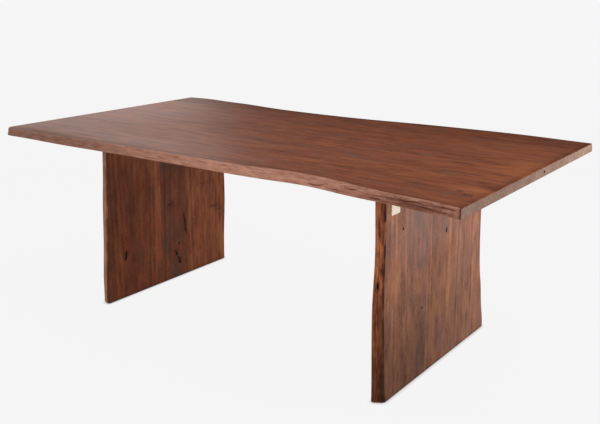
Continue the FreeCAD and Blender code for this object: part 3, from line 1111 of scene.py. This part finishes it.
    def surface(self) -> tuple[np.ndarray, np.ndarray, Profile]:
        """The board's skin: its profile carried along the grain, drawn in at the ends, with its hollows.

        Returns:
            Points in board axes and tones, on a grid of stations by profile points, and the profile.
        """
        low, high = self.limits()
        along = self.stations()
        loop = self.profile()
        height = (loop.through - low[2]) / (high[2] - low[2])
        sides = {side: self.side_places(side, along, height) for side in Side}
        across = (1 - loop.share) * sides[Side.FRONT] + loop.share * sides[Side.BACK] + loop.shift
        rounding = self.end_round * MM
        inset = quarter_circle(along - low[0], rounding) + quarter_circle(high[0] - along, rounding)
        through = np.clip(loop.through, low[2] + inset[:, None], high[2] - inset[:, None])
        points = np.stack([np.broadcast_to(along[:, None], across.shape), across, through], axis=-1)
        tones = np.tile([self.light, self.warm, 0.0, 0.0], across.shape + (1,))
        if self.relief:
            self.carve(points, tones, loop, height, sides[self.natural])
        self.mark(points, tones, loop)
        tones[[0, -1]] = (self.end_light, self.warm, 0.0, 0.0)
        return points, tones, loop

    def carve(self, points: np.ndarray, tones: np.ndarray, loop: Profile, height: np.ndarray,
              edge: np.ndarray) -> None:
        """Cut the natural edge's hollows into the skin, in place, with their tones and a shade along the rim.

        Args:
            points: Points in board axes, on a grid of stations by profile points.
            tones: Tones of the points.
            loop: Profile of the board.
            height: Share of the way through the board, for each point of the profile.
            edge: Place of the natural side across the board, for each point.
        """
        low, high = self.limits()
        along = points[:, :1, 0]
        from_rim = np.abs(points[..., 1] - edge) / MM
        tones[..., 0] *= 1 - self.rim_shade * np.exp(-(from_rim / self.rim_mm) ** 2)
        from_end = np.minimum(along - low[0], high[0] - along) / (END_FADE_MM * MM)
        fade = smoothstep(np.minimum(height, 1 - height) / ARRIS_FADE) * smoothstep(from_end)
        hollow = self.relief.depth(along / MM, height) * fade
        drawn_in = np.where(loop.natural, hollow, 0) * MM
        points[..., 1:] -= drawn_in[..., None] * loop.normal.T
        tones[:, loop.natural] = self.relief.tones(along / MM, height, hollow)[:, loop.natural]

    def mark(self, points: np.ndarray, tones: np.ndarray, loop: Profile) -> None:
        """Sink the cracks into the upper face and add the patches' tones, in place.

        Args:
            points: Points in board axes, on a grid of stations by profile points.
            tones: Tones of the points.
            loop: Profile of the board.
        """
        along, across = np.moveaxis(points[..., :2] / MM, -1, 0)
        for crack in self.cracks:
            depth, shade = crack.marks(along, across)
            points[..., 2] -= np.where(loop.upper, depth, 0) * MM
            tones[..., 2] = np.maximum(tones[..., 2], np.where(loop.upper, shade, 0))
        for patch in self.patches:
            strength = np.where(loop.natural, 0, patch.strength(along, across))
            tones += strength[..., None] * patch.changes()

    def pad_well(self) -> tuple[np.ndarray, np.ndarray, np.ndarray]:
        """Recess for a levelling foot's pad in the low end of the board, with the hole for its insert.

        Returns:
            Place of its axis across and through the board, and the radius and the place along of each ring.
        """
        low = self.limits()[0]
        pad_low, pad_high = self.limits(self.foot + "_leveller_pad")
        sleeve_low, sleeve_high = self.limits(self.foot.split("_")[1] + "_leveller_inserts")
        wide = (pad_high[1] - pad_low[1]) / 2 + PAD_ROOM_MM * MM
        narrow = (sleeve_high[2] - sleeve_low[2]) / 2 + SLEEVE_ROOM_MM * MM
        level = np.array([low[0], sleeve_low[0], sleeve_low[0], sleeve_high[0] + narrow])
        return (pad_low + pad_high)[1:] / 2, np.array([wide, wide, narrow, narrow]), level

    def knot_hole(self) -> tuple[np.ndarray, np.ndarray, np.ndarray]:
        """Small hole in the high end of the board, as a shallow cone behind an eased mouth.

        Returns:
            Place of its axis across and through the board, and the radius and the place along of each ring.
        """
        high = self.limits()[1]
        across, through, width = self.hole
        return (np.array([across, through]) * MM, 0.5 * width * MM * HOLE_RADII,
                high[0] - width * MM * HOLE_DEPTHS)

    def recess(self, rim: np.ndarray, numbers: np.ndarray, first: int, middle: np.ndarray, radius: np.ndarray,
               level: np.ndarray) -> tuple[np.ndarray, list[np.ndarray], np.ndarray]:
        """Round recess in one end of the board.

        Rings of points run from the recess's mouth to its bottom. The end round the mouth is two polygons,
        parted on the line through the recess's middle.

        Args:
            rim: Loop of points of the end, in board axes.
            numbers: Vertex numbers of that loop.
            first: Number that the recess's first point takes.
            middle: Place of the recess's axis across and through the board.
            radius: Radius of each ring.
            level: Place of each ring along the grain.

        Returns:
            Points in board axes, the polygons of the end and of the recess's bottom, and the quads of its
            walls, as they face at the high end.
        """
        turn = np.linspace(0, TURN, WELL_SIDES, endpoint=False) + QUARTER
        across = middle[0] + radius[:, None] * np.cos(turn)
        through = middle[1] + radius[:, None] * np.sin(turn)
        points = np.stack([level[:, None] + 0 * across, across, through], axis=-1).reshape(-1, 3)
        quads = first + grid_quads(len(radius), WELL_SIDES, closed=True)
        half = WELL_SIDES // 2
        columns = np.arange(len(rim))
        from_middle = np.abs(rim[:, 1] - middle[0])
        upper = columns[rim[:, 2] > middle[1]]
        lower = columns[rim[:, 2] < middle[1]]
        top = upper[np.argmin(from_middle[upper])]
        bottom = lower[np.argmin(from_middle[lower])]
        circle = first + np.append(np.arange(WELL_SIDES), 0)
        stretches = ((top, bottom, circle[:half + 1]), (bottom, top, circle[half:]))
        polygons = [np.append(numbers[np.roll(columns, -start)[:(stop - start) % len(rim) + 1]], arc[::-1])
                    for start, stop, arc in stretches]
        floor = first + np.arange(WELL_SIDES) + (len(radius) - 1) * WELL_SIDES
        return points, [*polygons, floor], quads

    def ends(self, points: np.ndarray,
             tones: np.ndarray) -> tuple[np.ndarray, np.ndarray, list[np.ndarray], np.ndarray]:
        """The two ends of the board, with the recess that one of them may have.

        Args:
            points: Points in board axes, on a grid of stations by profile points.
            tones: Tones of the points.

        Returns:
            Points and tones of the recess, the polygons of both ends, and the quads of the recess's walls.
        """
        rows, columns = points.shape[:2]
        low_end = np.arange(columns)
        high_end = low_end + (rows - 1) * columns
        polygons = [low_end[::-1], high_end]
        well = np.empty((0, 3))
        walls = np.empty((0, 4), dtype=int)
        if self.foot:
            well, cap, walls = self.recess(points[0], low_end, rows * columns, *self.pad_well())
            walls = walls[:, ::-1]
            polygons = [*(polygon[::-1] for polygon in cap), high_end]
        if self.hole:
            well, cap, walls = self.recess(points[-1], high_end, rows * columns, *self.knot_hole())
            polygons = [low_end[::-1], *cap]
        shades = np.tile(tones[0, 0], (len(well), 1))
        # The hole's walls and bottom take the full knot colour: dark knot wood, and painted shade inside the
        # hole
        shades[WELL_SIDES:, 2] = 1.0 if self.hole else 0.0
        return well, shades, polygons, walls

    def grain_places(self, points: np.ndarray, rise: np.ndarray) -> np.ndarray:
        """Place of each point from the tree's pith, which leans along the board.

        Args:
            points: Points in board axes.
            rise: Lift of the rings at each point, in millimetres.

        Returns:
            Place along the grain, with a stretch of tree of its own for each board, then across and through.
        """
        low, high = self.limits()
        across, through, lean = self.pith
        grain = points - (low + high) / 2
        grain[..., 2] -= (through + rise) * MM + lean * grain[..., 0]
        grain[..., 1] -= across * MM
        grain[..., 0] += tree_place(self.node)
        return grain

    def build(self, finishes: list[bpy.types.Material], slot: str) -> Piece:
        """Build and dress the board.

        Args:
            finishes: Materials of the planed faces, the natural edge and the saw-cut ends.
            slot: Record's material slot; not used.

        Returns:
            The finished board.
        """
        points, tones, loop = self.surface()
        rows, columns = points.shape[:2]
        well, well_tones, polygons, walls = self.ends(points, tones)
        faces = [grid_quads(rows, columns, closed=True), *polygons, walls]
        if self.lay is Lay.UPRIGHT:
            faces = [face[..., ::-1] for face in faces]
        every_point = np.concatenate([points.reshape(-1, 3), well])
        every_tone = np.concatenate([tones.reshape(-1, 4), well_tones])
        piece = mesh_piece(self.node + "_finished", self.lay.swap(every_point), faces)
        mesh = piece.data
        for finish in finishes:
            mesh.materials.append(finish)
        on_edge, on_curve = (marked & np.roll(marked, -1) for marked in (loop.natural, loop.curved))
        at_ends = np.ones(len(polygons) + len(walls), dtype=np.int32)
        skin = np.concatenate([np.tile(on_edge, rows - 1), 2 * at_ends])
        smooth = np.concatenate([np.tile(on_curve, rows - 1), at_ends < 1])
        mesh.polygons.foreach_set("material_index", skin.astype(np.int32))
        mesh.polygons.foreach_set("use_smooth", smooth)
        set_attribute(mesh, GRAIN, self.grain_places(every_point, every_tone[:, 3]))
        set_attribute(mesh, TONE, every_tone[:, :3])
        return hand_over(piece, "table", self.node)


@dataclass
class Slab:
    """Slab glued up from boards, front to back."""

    boards: tuple[Board, ...]
    slot: str
    face: AcaciaFinish
    edge: NaturalEdgeFinish
    end: AcaciaFinish = SAWN_END

    def build(self) -> list[Piece]:
        """Build and dress the boards, front to back."""
        finishes = [finish.material() for finish in (self.face, self.edge, self.end)]
        return [board.build(finishes, self.slot) for board in self.boards]


@dataclass
class Hardware:
    """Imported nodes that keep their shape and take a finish."""

    finish: PlainFinish
    endings: tuple[str, ...]

    def dress(self) -> list[Piece]:
        """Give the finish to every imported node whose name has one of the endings.

        Returns:
            The dressed nodes.
        """
        material = self.finish.material()
        dressed = [node for name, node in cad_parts.items() if name.endswith(self.endings)]
        for node in dressed:
            node.data.materials.clear()
            node.data.materials.append(material)
        return dressed


@dataclass
class Label:
    """Blank plate on the right leg's outer face: a rounded rectangle with an eased rim and a sunk line."""

    node: str
    slot: str
    finish: PlainFinish
    corner_mm: float = 3.5
    least_corner: float = 0.3
    corner_points: int = 7
    rim_mm: float = 0.4
    rim_rings: int = 5
    border_mm: float = 3.0
    line_mm: float = 0.8
    line_depth_mm: float = 0.3
    line_slope: float = 0.3

    def rings(self, thickness: float) -> tuple[np.ndarray, np.ndarray]:
        """Profile of the plate from its back, over the rim and the border line, to its middle.

        The rim is a quarter circle, and the border line a shallow trough.

        Args:
            thickness: Thickness of the plate.

        Returns:
            Inset from the outline and height above the leg, for each ring.
        """
        rim = self.rim_mm * MM
        arc = np.linspace(0, QUARTER, self.rim_rings)
        trough = np.array([0.0, self.line_slope, 1 - self.line_slope, 1.0])
        line = (self.border_mm + self.line_mm * trough) * MM
        sunk = self.line_depth_mm * MM * np.array([0.0, 1.0, 1.0, 0.0])
        inset = np.concatenate([[0.0], rim * (1 - np.cos(arc)), line])
        height = np.concatenate([[0.0], thickness - rim + rim * np.sin(arc), thickness - sunk])
        return inset, height

    def build(self) -> Piece:
        """Build and dress the plate: each ring is the outline drawn in by the ring's inset, with a quarter
        circle at each corner.

        Returns:
            The finished plate.
        """
        low, high = packed_box(self.node)
        inset, height = self.rings(high[0] - low[0])
        turn = (np.linspace(0, QUARTER, self.corner_points) + np.arange(4)[:, None] * QUARTER).ravel()
        middle = (low + high)[1:] / 2
        half = (high - low)[1:] / 2
        corner = self.corner_mm * MM
        radius = np.maximum(corner - inset, self.least_corner * corner)[:, None]
        reach = half - inset[:, None] - radius
        toward = np.repeat([[1, 1], [-1, 1], [-1, -1], [1, -1]], self.corner_points, axis=0)
        across = middle[0] + reach[:, :1] * toward[:, 0] + radius * np.cos(turn)
        upward = middle[1] + reach[:, 1:] * toward[:, 1] + radius * np.sin(turn)
        outward = np.broadcast_to(low[0] + height[:, None], across.shape)
        piece = capped_rings(self.node + "_plate", np.stack([outward, across, upward], axis=-1))
        piece.data.materials.append(self.finish.material())
        return hand_over(piece, "table", self.node)


@dataclass
class LevellingFoot:
    """Screw-out foot under one end of a leg: a threaded stud in a fluted pad."""

    end: str
    steel: PlainFinish
    nylon: PlainFinish
    pitch_mm: float = 1.25
    pitch_rings: int = 4
    thread_mm: float = 0.65
    thread_sides: int = 24
    chamfer_mm: float = 1.2
    flutes: int = 20
    flute_mm: float = 0.6
    flute_sides: int = 6
    pad_round_mm: float = 1.2
    round_rings: int = 5

    def build(self) -> list[Piece]:
        """Build and dress the stud and the pad.

        Returns:
            The stud and the pad.
        """
        stud, pad = (self.end + part for part in ("_leveller_stud", "_leveller_pad"))
        rows = ((self.threaded_stud(stud), stud, self.steel, "zinc_steel"),
                (self.fluted_pad(pad, stud), pad, self.nylon, "nylon"))
        for piece, node, finish, slot in rows:
            piece.data.materials.append(finish.material())
            hand_over(piece, self.end + "_leveller", node)
        return [row[0] for row in rows]

    def turned(self, name: str, middle: np.ndarray, radius: np.ndarray, level: np.ndarray,
               turn: np.ndarray) -> Piece:
        """Closed piece about an upright axis.

        Args:
            name: Name of the piece.
            middle: Point on the axis.
            radius: Radius at each level and angle.
            level: Levels, one row each.
            turn: Angles, one column each.

        Returns:
            The piece, not dressed yet.
        """
        points = [middle[0] + radius * np.cos(turn), middle[1] + radius * np.sin(turn), level + 0 * turn]
        return capped_rings(name, np.stack(points, axis=-1))

    def threaded_stud(self, node: str) -> Piece:
        """Stud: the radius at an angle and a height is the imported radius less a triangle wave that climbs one
        pitch in each turn, and falls back at both ends as a cone.

        Args:
            node: Packed stud.

        Returns:
            The stud, not dressed yet.
        """
        low, high = packed_box(node)
        pitch = self.pitch_mm * MM
        rings = self.pitch_rings * int((high[2] - low[2]) / pitch) + 1
        level = np.linspace(low[2], high[2], rings)[:, None]
        turn = np.linspace(0, TURN, self.thread_sides, endpoint=False)[None, :]
        wave = np.abs(2 * ((level / pitch - turn / TURN) % 1.0) - 1)
        from_end = np.minimum(level - low[2], high[2] - level)
        cone = np.clip(self.chamfer_mm * MM - from_end, 0, None)
        radius = (high[0] - low[0]) / 2 - np.maximum(wave * self.thread_mm * MM, cone)
        return self.turned(node + "_threaded", (low + high) / 2, radius, level, turn)

    def fluted_pad(self, node: str, stud: str) -> Piece:
        """Pad: a turned profile whose rim is drawn in by a row of cosine flutes, with a socket for the stud.

        Args:
            node: Packed pad.
            stud: Packed stud, which sets the socket's radius and floor.

        Returns:
            The pad, not dressed yet.
        """
        low, high = packed_box(node)
        stud_low, stud_high = packed_box(stud)
        socket = (stud_high[0] - stud_low[0]) / 2
        ease = self.pad_round_mm * MM
        arc = np.linspace(0, QUARTER, self.round_rings)
        rim = (high[0] - low[0]) / 2 - ease
        radius = np.concatenate([rim + ease * np.sin(arc), rim + ease * np.cos(arc), [socket, socket]])
        level = np.concatenate([low[2] + ease * (1 - np.cos(arc)), high[2] - ease * (1 - np.sin(arc)),
                                [high[2], stud_low[2]]])
        turn = np.linspace(0, TURN, self.flute_sides * self.flutes, endpoint=False)[None, :]
        at_rim = smoothstep((radius - socket) / (rim - socket))[:, None]
        drawn_in = self.flute_mm * MM * at_rim * (0.5 - 0.5 * np.cos(self.flutes * turn))
        spread = radius[:, None] - drawn_in
        return self.turned(node + "_fluted", (low + high) / 2, spread, level[:, None], turn)


@dataclass
class SoftBox:
    """Studio lamp with a rectangular diffuser, aimed at a point."""

    name: str
    place: tuple[float, float, float]
    aim: tuple[float, float, float]
    width: float
    height: float
    power: float

    def build(self) -> None:
        """Make the lamp and link it into the scene."""
        data = bpy.data.lights.new(self.name, "AREA")
        data.shape = "RECTANGLE"
        data.size = self.width
        data.size_y = self.height
        data.energy = self.power
        lamp = bpy.data.objects.new(self.name, data)
        lamp.location = self.place
        ray = np.array(self.aim) - np.array(self.place)
        level = math.hypot(ray[0], ray[1])
        lamp.rotation_euler = (math.atan2(level, -ray[2]), 0.0, math.atan2(-ray[0], ray[1]))
        lamp.visible_camera = False
        bpy.context.scene.collection.objects.link(lamp)


@dataclass
class Studio:
    """Floor, lamps, background and camera."""

    lamps: tuple[SoftBox, ...]
    floor_radius: float = 14.0
    floor_sides: int = 64
    floor_rings: int = 16
    floor_first: float = 0.05
    sky_strength: float = 0.5
    flag_radius: float = 12.0
    flag_edge_degrees: float = 43.5
    flag_sweep_degrees: float = 150.0
    flag_rise_degrees: float = 75.0
    flag_grid: tuple[int, int] = (24, 12)

    def build(self) -> None:
        """Make the floor, the lamps, the flag, the background and the camera."""
        self.build_floor()
        for lamp in self.lamps:
            lamp.build()
        self.build_flag()
        self.build_sky()
        self.build_camera()

    def build_floor(self) -> None:
        """Floor disc: rings of points whose radius grows with the square of the ring's number."""
        turn = np.linspace(0, TURN, self.floor_sides, endpoint=False)
        radius = self.floor_radius * np.linspace(self.floor_first, 1, self.floor_rings) ** 2
        ring = np.stack([np.cos(turn), np.sin(turn), np.zeros_like(turn)], axis=-1)
        quads = grid_quads(len(radius), len(turn), closed=True)[:, ::-1]
        floor = mesh_piece("studio_floor", radius[:, None, None] * ring, [quads, np.arange(len(turn))])
        floor.data.materials.append(FloorFinish().material())

    def build_flag(self) -> None:
        """Dark studio flag that only gloss sees, so that the top mirrors the pale background at its left end.

        It is a stretch of a sphere about the table: one parameter is the angle round from its left edge,
        counted from +Y towards -X, and the other is the angle up from the floor.
        """
        columns, rows = self.flag_grid
        sweep = np.linspace(0, self.flag_sweep_degrees, columns)
        around = np.radians(self.flag_edge_degrees - sweep)[:, None]
        rise = np.radians(np.linspace(0, self.flag_rise_degrees, rows))[None, :]
        sphere = [-np.sin(around) * np.cos(rise), np.cos(around) * np.cos(rise), np.sin(rise) + 0 * around]
        points = self.flag_radius * np.stack(sphere, axis=-1)
        flag = mesh_piece("studio_flag", points, [grid_quads(columns, rows, closed=False)])
        flag.data.materials.append(FLAG_CLOTH.material())
        flag.visible_camera = False
        flag.visible_diffuse = False
        flag.visible_shadow = False

    def build_sky(self) -> None:
        """Background: plain pale to the camera and to gloss, and a weaker even light on matt surfaces."""
        world = bpy.data.worlds.new("studio_background")
        world.use_nodes = True
        world.node_tree.nodes.clear()
        add = partial(add_node, world.node_tree)
        light, shown = (add("Background", {}, {"Color": linear(BACKGROUND), "Strength": strength})
                        for strength in (self.sky_strength, 1.0))
        mixed = add("MixShader", {}, {0: seen_by_ray(add), 1: light, 2: shown})
        add("OutputWorld", {}, {"Surface": mixed})
        bpy.context.scene.world = world

    def build_camera(self) -> None:
        """Camera fitted to the photograph, shifted because its frame was cropped below its level axis."""
        data = bpy.data.cameras.new("camera")
        data.sensor_width = SENSOR_WIDTH_MM
        data.lens = FOCAL_PX / IMAGE_WIDTH_PX * SENSOR_WIDTH_MM
        data.shift_y = (HORIZON_AXIS_ROW_PX - IMAGE_HEIGHT_PX / 2) / IMAGE_WIDTH_PX
        data.clip_end = CAMERA_REACH
        camera = bpy.data.objects.new("camera", data)
        camera.location = CAMERA_PLACE
        tilt = math.radians(90 - CAMERA_PITCH_DEGREES)
        camera.rotation_euler = (tilt, 0.0, math.radians(CAMERA_YAW_DEGREES))
        bpy.context.scene.collection.objects.link(camera)
        bpy.context.scene.camera = camera


def tabletop() -> Slab:
    """The top: seven boards along X with natural edges front and back.

    Returns:
        The slab, ready to build.
    """
    board = partial(Board, lay=Lay.FLAT)
    # Painted shade: a darker band on the upper face along the right end. Painted light: the top made lighter
    # towards its right end.
    painted_end_shade = Patch(1010, 0, 28, 4000, light=-0.26)
    painted_right_end_light_and_shade = (Patch(1000, 0, 1100, 1900, light=0.14, warm=0.06), painted_end_shade)
    # Painted sheen: the left end of the top is made lighter, standing in for the pale background mirrored at
    # that end
    painted_sheen_left_end = Patch(-980, 160, 560, 600, light=0.36)
    dull = Patch(680, -120, 420, 240, light=-0.1)
    brown = Patch(-400, -100, 480, 640, light=-0.2, warm=0.32)
    golden = Patch(970, -40, 240, 260, light=0.06, warm=0.5)
    middle = (*painted_right_end_light_and_shade, painted_sheen_left_end, dull, golden, brown)
    front_relief = Relief(
        11, layers=3.2, layers_from=600.0, rough=2.2,
        fissures=(Fissure(505, 90, 0.3), Fissure(585, 40, 0.2), Fissure(640, 60, 0.6), Fissure(735, 50, 0.35),
                  Fissure(830, 240, 0.6), Fissure(900, 200, 0.32), Fissure(975, 90, 0.72),
                  Fissure(890, 30, 0.08)),
        tints=(Patch(-720, 50, 1200, 300, light=-0.46), Patch(-1000, 0, 120, 50, light=-0.3),
               Patch(860, 20, 480, 100, light=-0.12, warm=0.6),
               Patch(740, 100, 640, 60, light=-0.12), Patch(1014, 50, 10, 300, dark=0.9)))
    boards = (
        board("top_front_live_board", (240, -60, 0.01), 1.0, 0.0, Side.FRONT, front_relief,
              cracks=(Crack(932, -389, 22, 11), Crack(969, -417, 34, 12, -33)),
              patches=(*painted_right_end_light_and_shade, Patch(990, -412, 70, 50, warm=0.4),
                       Patch(-800, -545, 640, 100, light=-0.36, warm=0.9),
                       Patch(-300, -530, 560, 70, light=-0.25, warm=0.3),
                       Patch(-850, -470, 500, 260, light=-0.14)),
              end_light=0.88, rim_shade=0.24, rim_mm=30.0, corner_rounds=(36.0, 4.0)),
        board("top_board_2", (-260, -90, 0.02), 0.98, 0.05, cracks=(Crack(346, -284, 24, 10),),
              patches=(*painted_right_end_light_and_shade, brown, Patch(969, -352, 120, 50, light=0.08, warm=0.5),
                       Patch(942, -265, 40, 26, dark=0.35)),
              end_light=0.83),
        board("top_board_3", (210, -80, -0.02), 1.03, patches=middle, end_light=0.84),
        board("top_board_4", (-180, -110, 0.03), 0.97, -0.05, hole=(53, 736.5, 11), patches=middle,
              end_light=0.95),
        board("top_board_5", (230, -70, 0.01), 0.96, 0.05, patches=(*painted_right_end_light_and_shade, painted_sheen_left_end), end_light=0.95),
        board("top_board_6", (-220, -90, -0.01), 0.88, patches=(*painted_right_end_light_and_shade, painted_sheen_left_end), end_light=1.05),
        board("top_back_live_board", (-250, -60, 0.02), 0.81, 0.0, Side.BACK, Relief(31),
              # Painted light towards the right end, with the painted shade along the end
              patches=(Patch(1000, 300, 1100, 400, light=0.06, warm=0.06), painted_end_shade),
              end_light=1.15, rim_shade=0.4, rim_mm=18.0),
    )
    return Slab(
        boards, "acacia_top",
        AcaciaFinish("acacia_planed_and_lacquered_top", "#572E1F", "#7C4530", "#95583E", TOP_FIGURE,
                     golden="#9C5E3A", contrast=2.2),
        NaturalEdgeFinish("acacia_natural_edge_of_top", "#BF8C76", "#986652", "#522D25"))


def left_leg() -> Slab:
    """The left leg: five upright boards with natural edges front and back.

    Returns:
        The slab, ready to build.
    """
    live = partial(Board, edge_round=9.0)
    # Painted shadow: a dark line along the foot of each board, where the gap under the leg lies in shade
    foot = Patch(0, 0, 16, 2000, dark=0.6)
    # Painted light: the front boards made lighter under the top, where its shadow falls
    lit = Patch(640, -230, 300, 420, light=0.14)
    edge_relief = Relief(41, arris_dark=0.7, arris_from=0.55, light=0.85,
                         tints=(Patch(380, 0, 2000, 16, light=-0.3),))
    boards = (
        live("left_leg_front_live_board", (120, -70, 0.03), 0.97, 0.0, Side.FRONT, edge_relief,
             foot="front_left", cracks=(Crack(188, -264, 44, 13, 12, taper=-0.3),),
             patches=(foot, lit, Patch(383, -216, 60, 50, light=-0.25), Patch(472, -312, 80, 40, light=-0.15),
                      Patch(106, -325, 130, 70, light=0.12, warm=0.1), Patch(260, -330, 220, 60, light=-0.2)),
             rim_shade=0.35, corner_rounds=(12.0, 0.5)),
        Board("left_leg_board_2", (-90, -60, 0.04), 1.09,
              patches=(foot, lit, Patch(420, -68, 900, 40, light=0.4, warm=0.1),
                       Patch(449, -186, 60, 40, light=-0.2), Patch(146, -87, 160, 40, light=0.2, warm=0.1))),
        Board("left_leg_board_3", (70, -80, -0.03), 1.05, -0.32,
              cracks=(Crack(249, 93, 112, 9, -8, taper=-0.7), Crack(118, 33, 34, 11, -24, taper=-0.4),
                      Crack(78, 52, 40, 12, -24, taper=-0.3), Crack(354, 1, 8, 5), Crack(160, 54, 11, 6, 10)),
              patches=(foot, Patch(500, 40, 320, 170, light=-0.12, warm=-0.1),
                       Patch(180, 30, 120, 110, light=-0.15, warm=-0.15),
                       Patch(354, 1, 44, 36, light=-0.15, warm=-0.3, rise=18.0))),
        Board("left_leg_board_4", (110, -60, 0.02), 1.2, 0.15,
              patches=(foot, Patch(408, 222, 18, 50, dark=0.3))),
        live("left_leg_back_live_board", (-100, -60, 0.03), 1.16, 0.15, Side.BACK, Relief(51),
             foot="back_left", cracks=(Crack(287, 274, 8, 4),),
             patches=(foot, Patch(284, 290, 16, 70, dark=0.4), Patch(263, 330, 14, 50, dark=0.35),
                      Patch(408, 250, 18, 70, dark=0.25)),
             corner_rounds=(6.0, 0.5)),
    )
    return Slab(
        boards, "acacia_left_leg",
        AcaciaFinish("acacia_planed_and_lacquered_left_leg", "#582E1D", "#7D422A", "#965538",
                     golden="#94603A", grey="#5A4132", drift=1.2, gloss=0.08),
        NaturalEdgeFinish("acacia_natural_edge_of_left_leg", "#BC8768", "#8E5A42", "#35190F"))


def right_leg() -> Slab:
    """The right leg: five upright boards with natural edges front and back.

    Returns:
        The slab, ready to build.
    """
    live = partial(Board, edge_round=9.0)
    # Painted shade: the leg darker towards its foot and its front, and near the foot at the back
    shaded = (Patch(0, -340, 420, 800, light=-0.26, warm=0.15),
              Patch(140, -300, 440, 1100, light=-0.3, warm=0.14))
    painted_low_shade_back = Patch(50, 120, 240, 240, light=-0.16)
    # Painted shadow: a dark line along the foot of each board, where the gap under the leg lies in shade
    foot = Patch(0, 0, 14, 2000, dark=0.6)
    grey_top = Patch(565, -170, 200, 320, light=-0.04, warm=-0.65)
    grey_side = Patch(500, 60, 130, 260, light=0.05, warm=-0.35)
    # front_half adds a painted light under the top, where its shadow falls, to the painted shade and the
    # painted foot shadow
    front_half = (*shaded, Patch(640, -160, 300, 460, light=0.45), foot, grey_top)
    back_half = (*shaded, foot, grey_side)
    edge_relief = Relief(
        61, ridge=3.0, arris_dark=0.85, arris_from=0.74, light=0.8, fissures=(Fissure(405, 40, 0.5, 5.0),),
        tints=(Patch(540, 45, 300, 120, light=0.4, warm=-0.3), Patch(690, 40, 120, 200, light=-0.1, warm=0.5),
               # Painted shade: the edge made darker towards its foot, as the faces are
               Patch(180, 50, 420, 400, light=-0.1, warm=0.35), Patch(0, 50, 260, 400, light=-0.4),
               Patch(380, 15, 2000, 40, light=0.08), Patch(380, 90, 2000, 60, light=-0.28),
               Patch(398, 70, 50, 50, light=0.5), Patch(405, 45, 18, 30, dark=0.8)))
    boards = (
        live("right_leg_front_live_board", (130, -70, 0.03), 0.99, 0.0, Side.FRONT, edge_relief,
             foot="front_right", cracks=(Crack(568, -287, 10, 6),),
             patches=(*front_half, Patch(400, -330, 420, 70, light=0.02, warm=0.25)),
             rim_shade=0.35, corner_rounds=(8.0, 0.5)),
        Board("right_leg_board_2", (-20, -50, 0.06), 0.94, -0.05, cracks=(Crack(251, -145, 10, 6),),
              patches=(*front_half, Patch(499, -179, 240, 90, light=-0.05, warm=-0.1, rise=90.0),
                       Patch(140, -155, 240, 75, light=-0.13, warm=-0.5))),
        Board("right_leg_board_3", (80, -60, 0.03), 0.97, cracks=(Crack(488, 20, 20, 9),),
              patches=(*front_half, grey_side)),
        Board("right_leg_board_4", (-110, -60, 0.02), 1.01,
              patches=(*back_half, Patch(420, 52, 420, 16, light=0.2, warm=0.5),
                       Patch(190, 115, 210, 40, light=-0.1, warm=-0.2), painted_low_shade_back)),
        live("right_leg_back_live_board", (100, -60, 0.03), 1.02, 0.0, Side.BACK, Relief(71),
             foot="back_right",
             patches=(*back_half, painted_low_shade_back, Patch(420, 245, 240, 90, light=0.25, warm=0.05)),
             corner_rounds=(6.0, 0.5)),
    )
    return Slab(
        boards, "acacia_right_leg",
        AcaciaFinish("acacia_planed_and_lacquered_right_leg", "#633D2E", "#8A5843", "#A6735A",
                     golden="#A47048", ring_weight=0.5, contrast=3.0, drift=1.2, gloss=0.08),
        NaturalEdgeFinish("acacia_natural_edge_of_right_leg", "#BA7048", "#5C2A19", "#200E08",
                          mottle_mm=12.0))


def fittings() -> tuple[Hardware, ...]:
    """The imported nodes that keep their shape, grouped by finish.

    Returns:
        One group for each finish.
    """
    return (
        Hardware(FILLER, ("leg_crack_fills", "leg_knot_fills")),
        Hardware(KNOT_FILLER, ("top_knot_fills",)),
        Hardware(BEECH, ("_dowels",)),
        Hardware(POWDER_COAT, ("_bracket",)),
        Hardware(ZINC, ("_screws", "_washers", "_inserts")),
    )


def feet() -> list[LevellingFoot]:
    """The four levelling feet, one for each end of each leg."""
    ends = ("front_left", "back_left", "front_right", "back_right")
    return [LevellingFoot(end, ZINC, NYLON) for end in ends]


def studio() -> Studio:
    """Soft lamps at the right, overhead and in front, and a weak one behind at the left.

    Returns:
        The studio, ready to build.
    """
    aim = (0.0, 0.0, 0.5)
    return Studio((
        SoftBox("right_softbox", (2.9, 1.0, 0.95), aim, 2.4, 1.2, 42.0),
        SoftBox("overhead_softbox", (0.4, -0.3, 3.2), aim, 3.0, 2.0, 34.0),
        SoftBox("front_softbox", (-0.4, -4.2, 1.5), aim, 2.6, 1.4, 40.0),
        SoftBox("back_left_softbox", (-4.4, 2.4, 2.0), aim, 2.6, 1.2, 6.0),
    ))


def main() -> None:
    """Build the table and its studio."""
    logging.basicConfig(level=logging.INFO, format="%(message)s")
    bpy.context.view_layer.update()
    bpy.context.scene.view_settings.view_transform = "Standard"
    pieces = [piece for slab in (tabletop(), left_leg(), right_leg()) for piece in slab.build()]
    pieces.append(Label("blank_label", "label_ivory", IVORY).build())
    pieces += [piece for foot in feet() for piece in foot.build()]
    for piece in pieces:
        LOG.info("built %s, %d polygons", piece.name, len(piece.data.polygons))
    for group in fittings():
        for node in group.dress():
            LOG.info("dressed %s in %s", node.name, group.finish.name)
    studio().build()


if __name__ == "__main__":
    main()
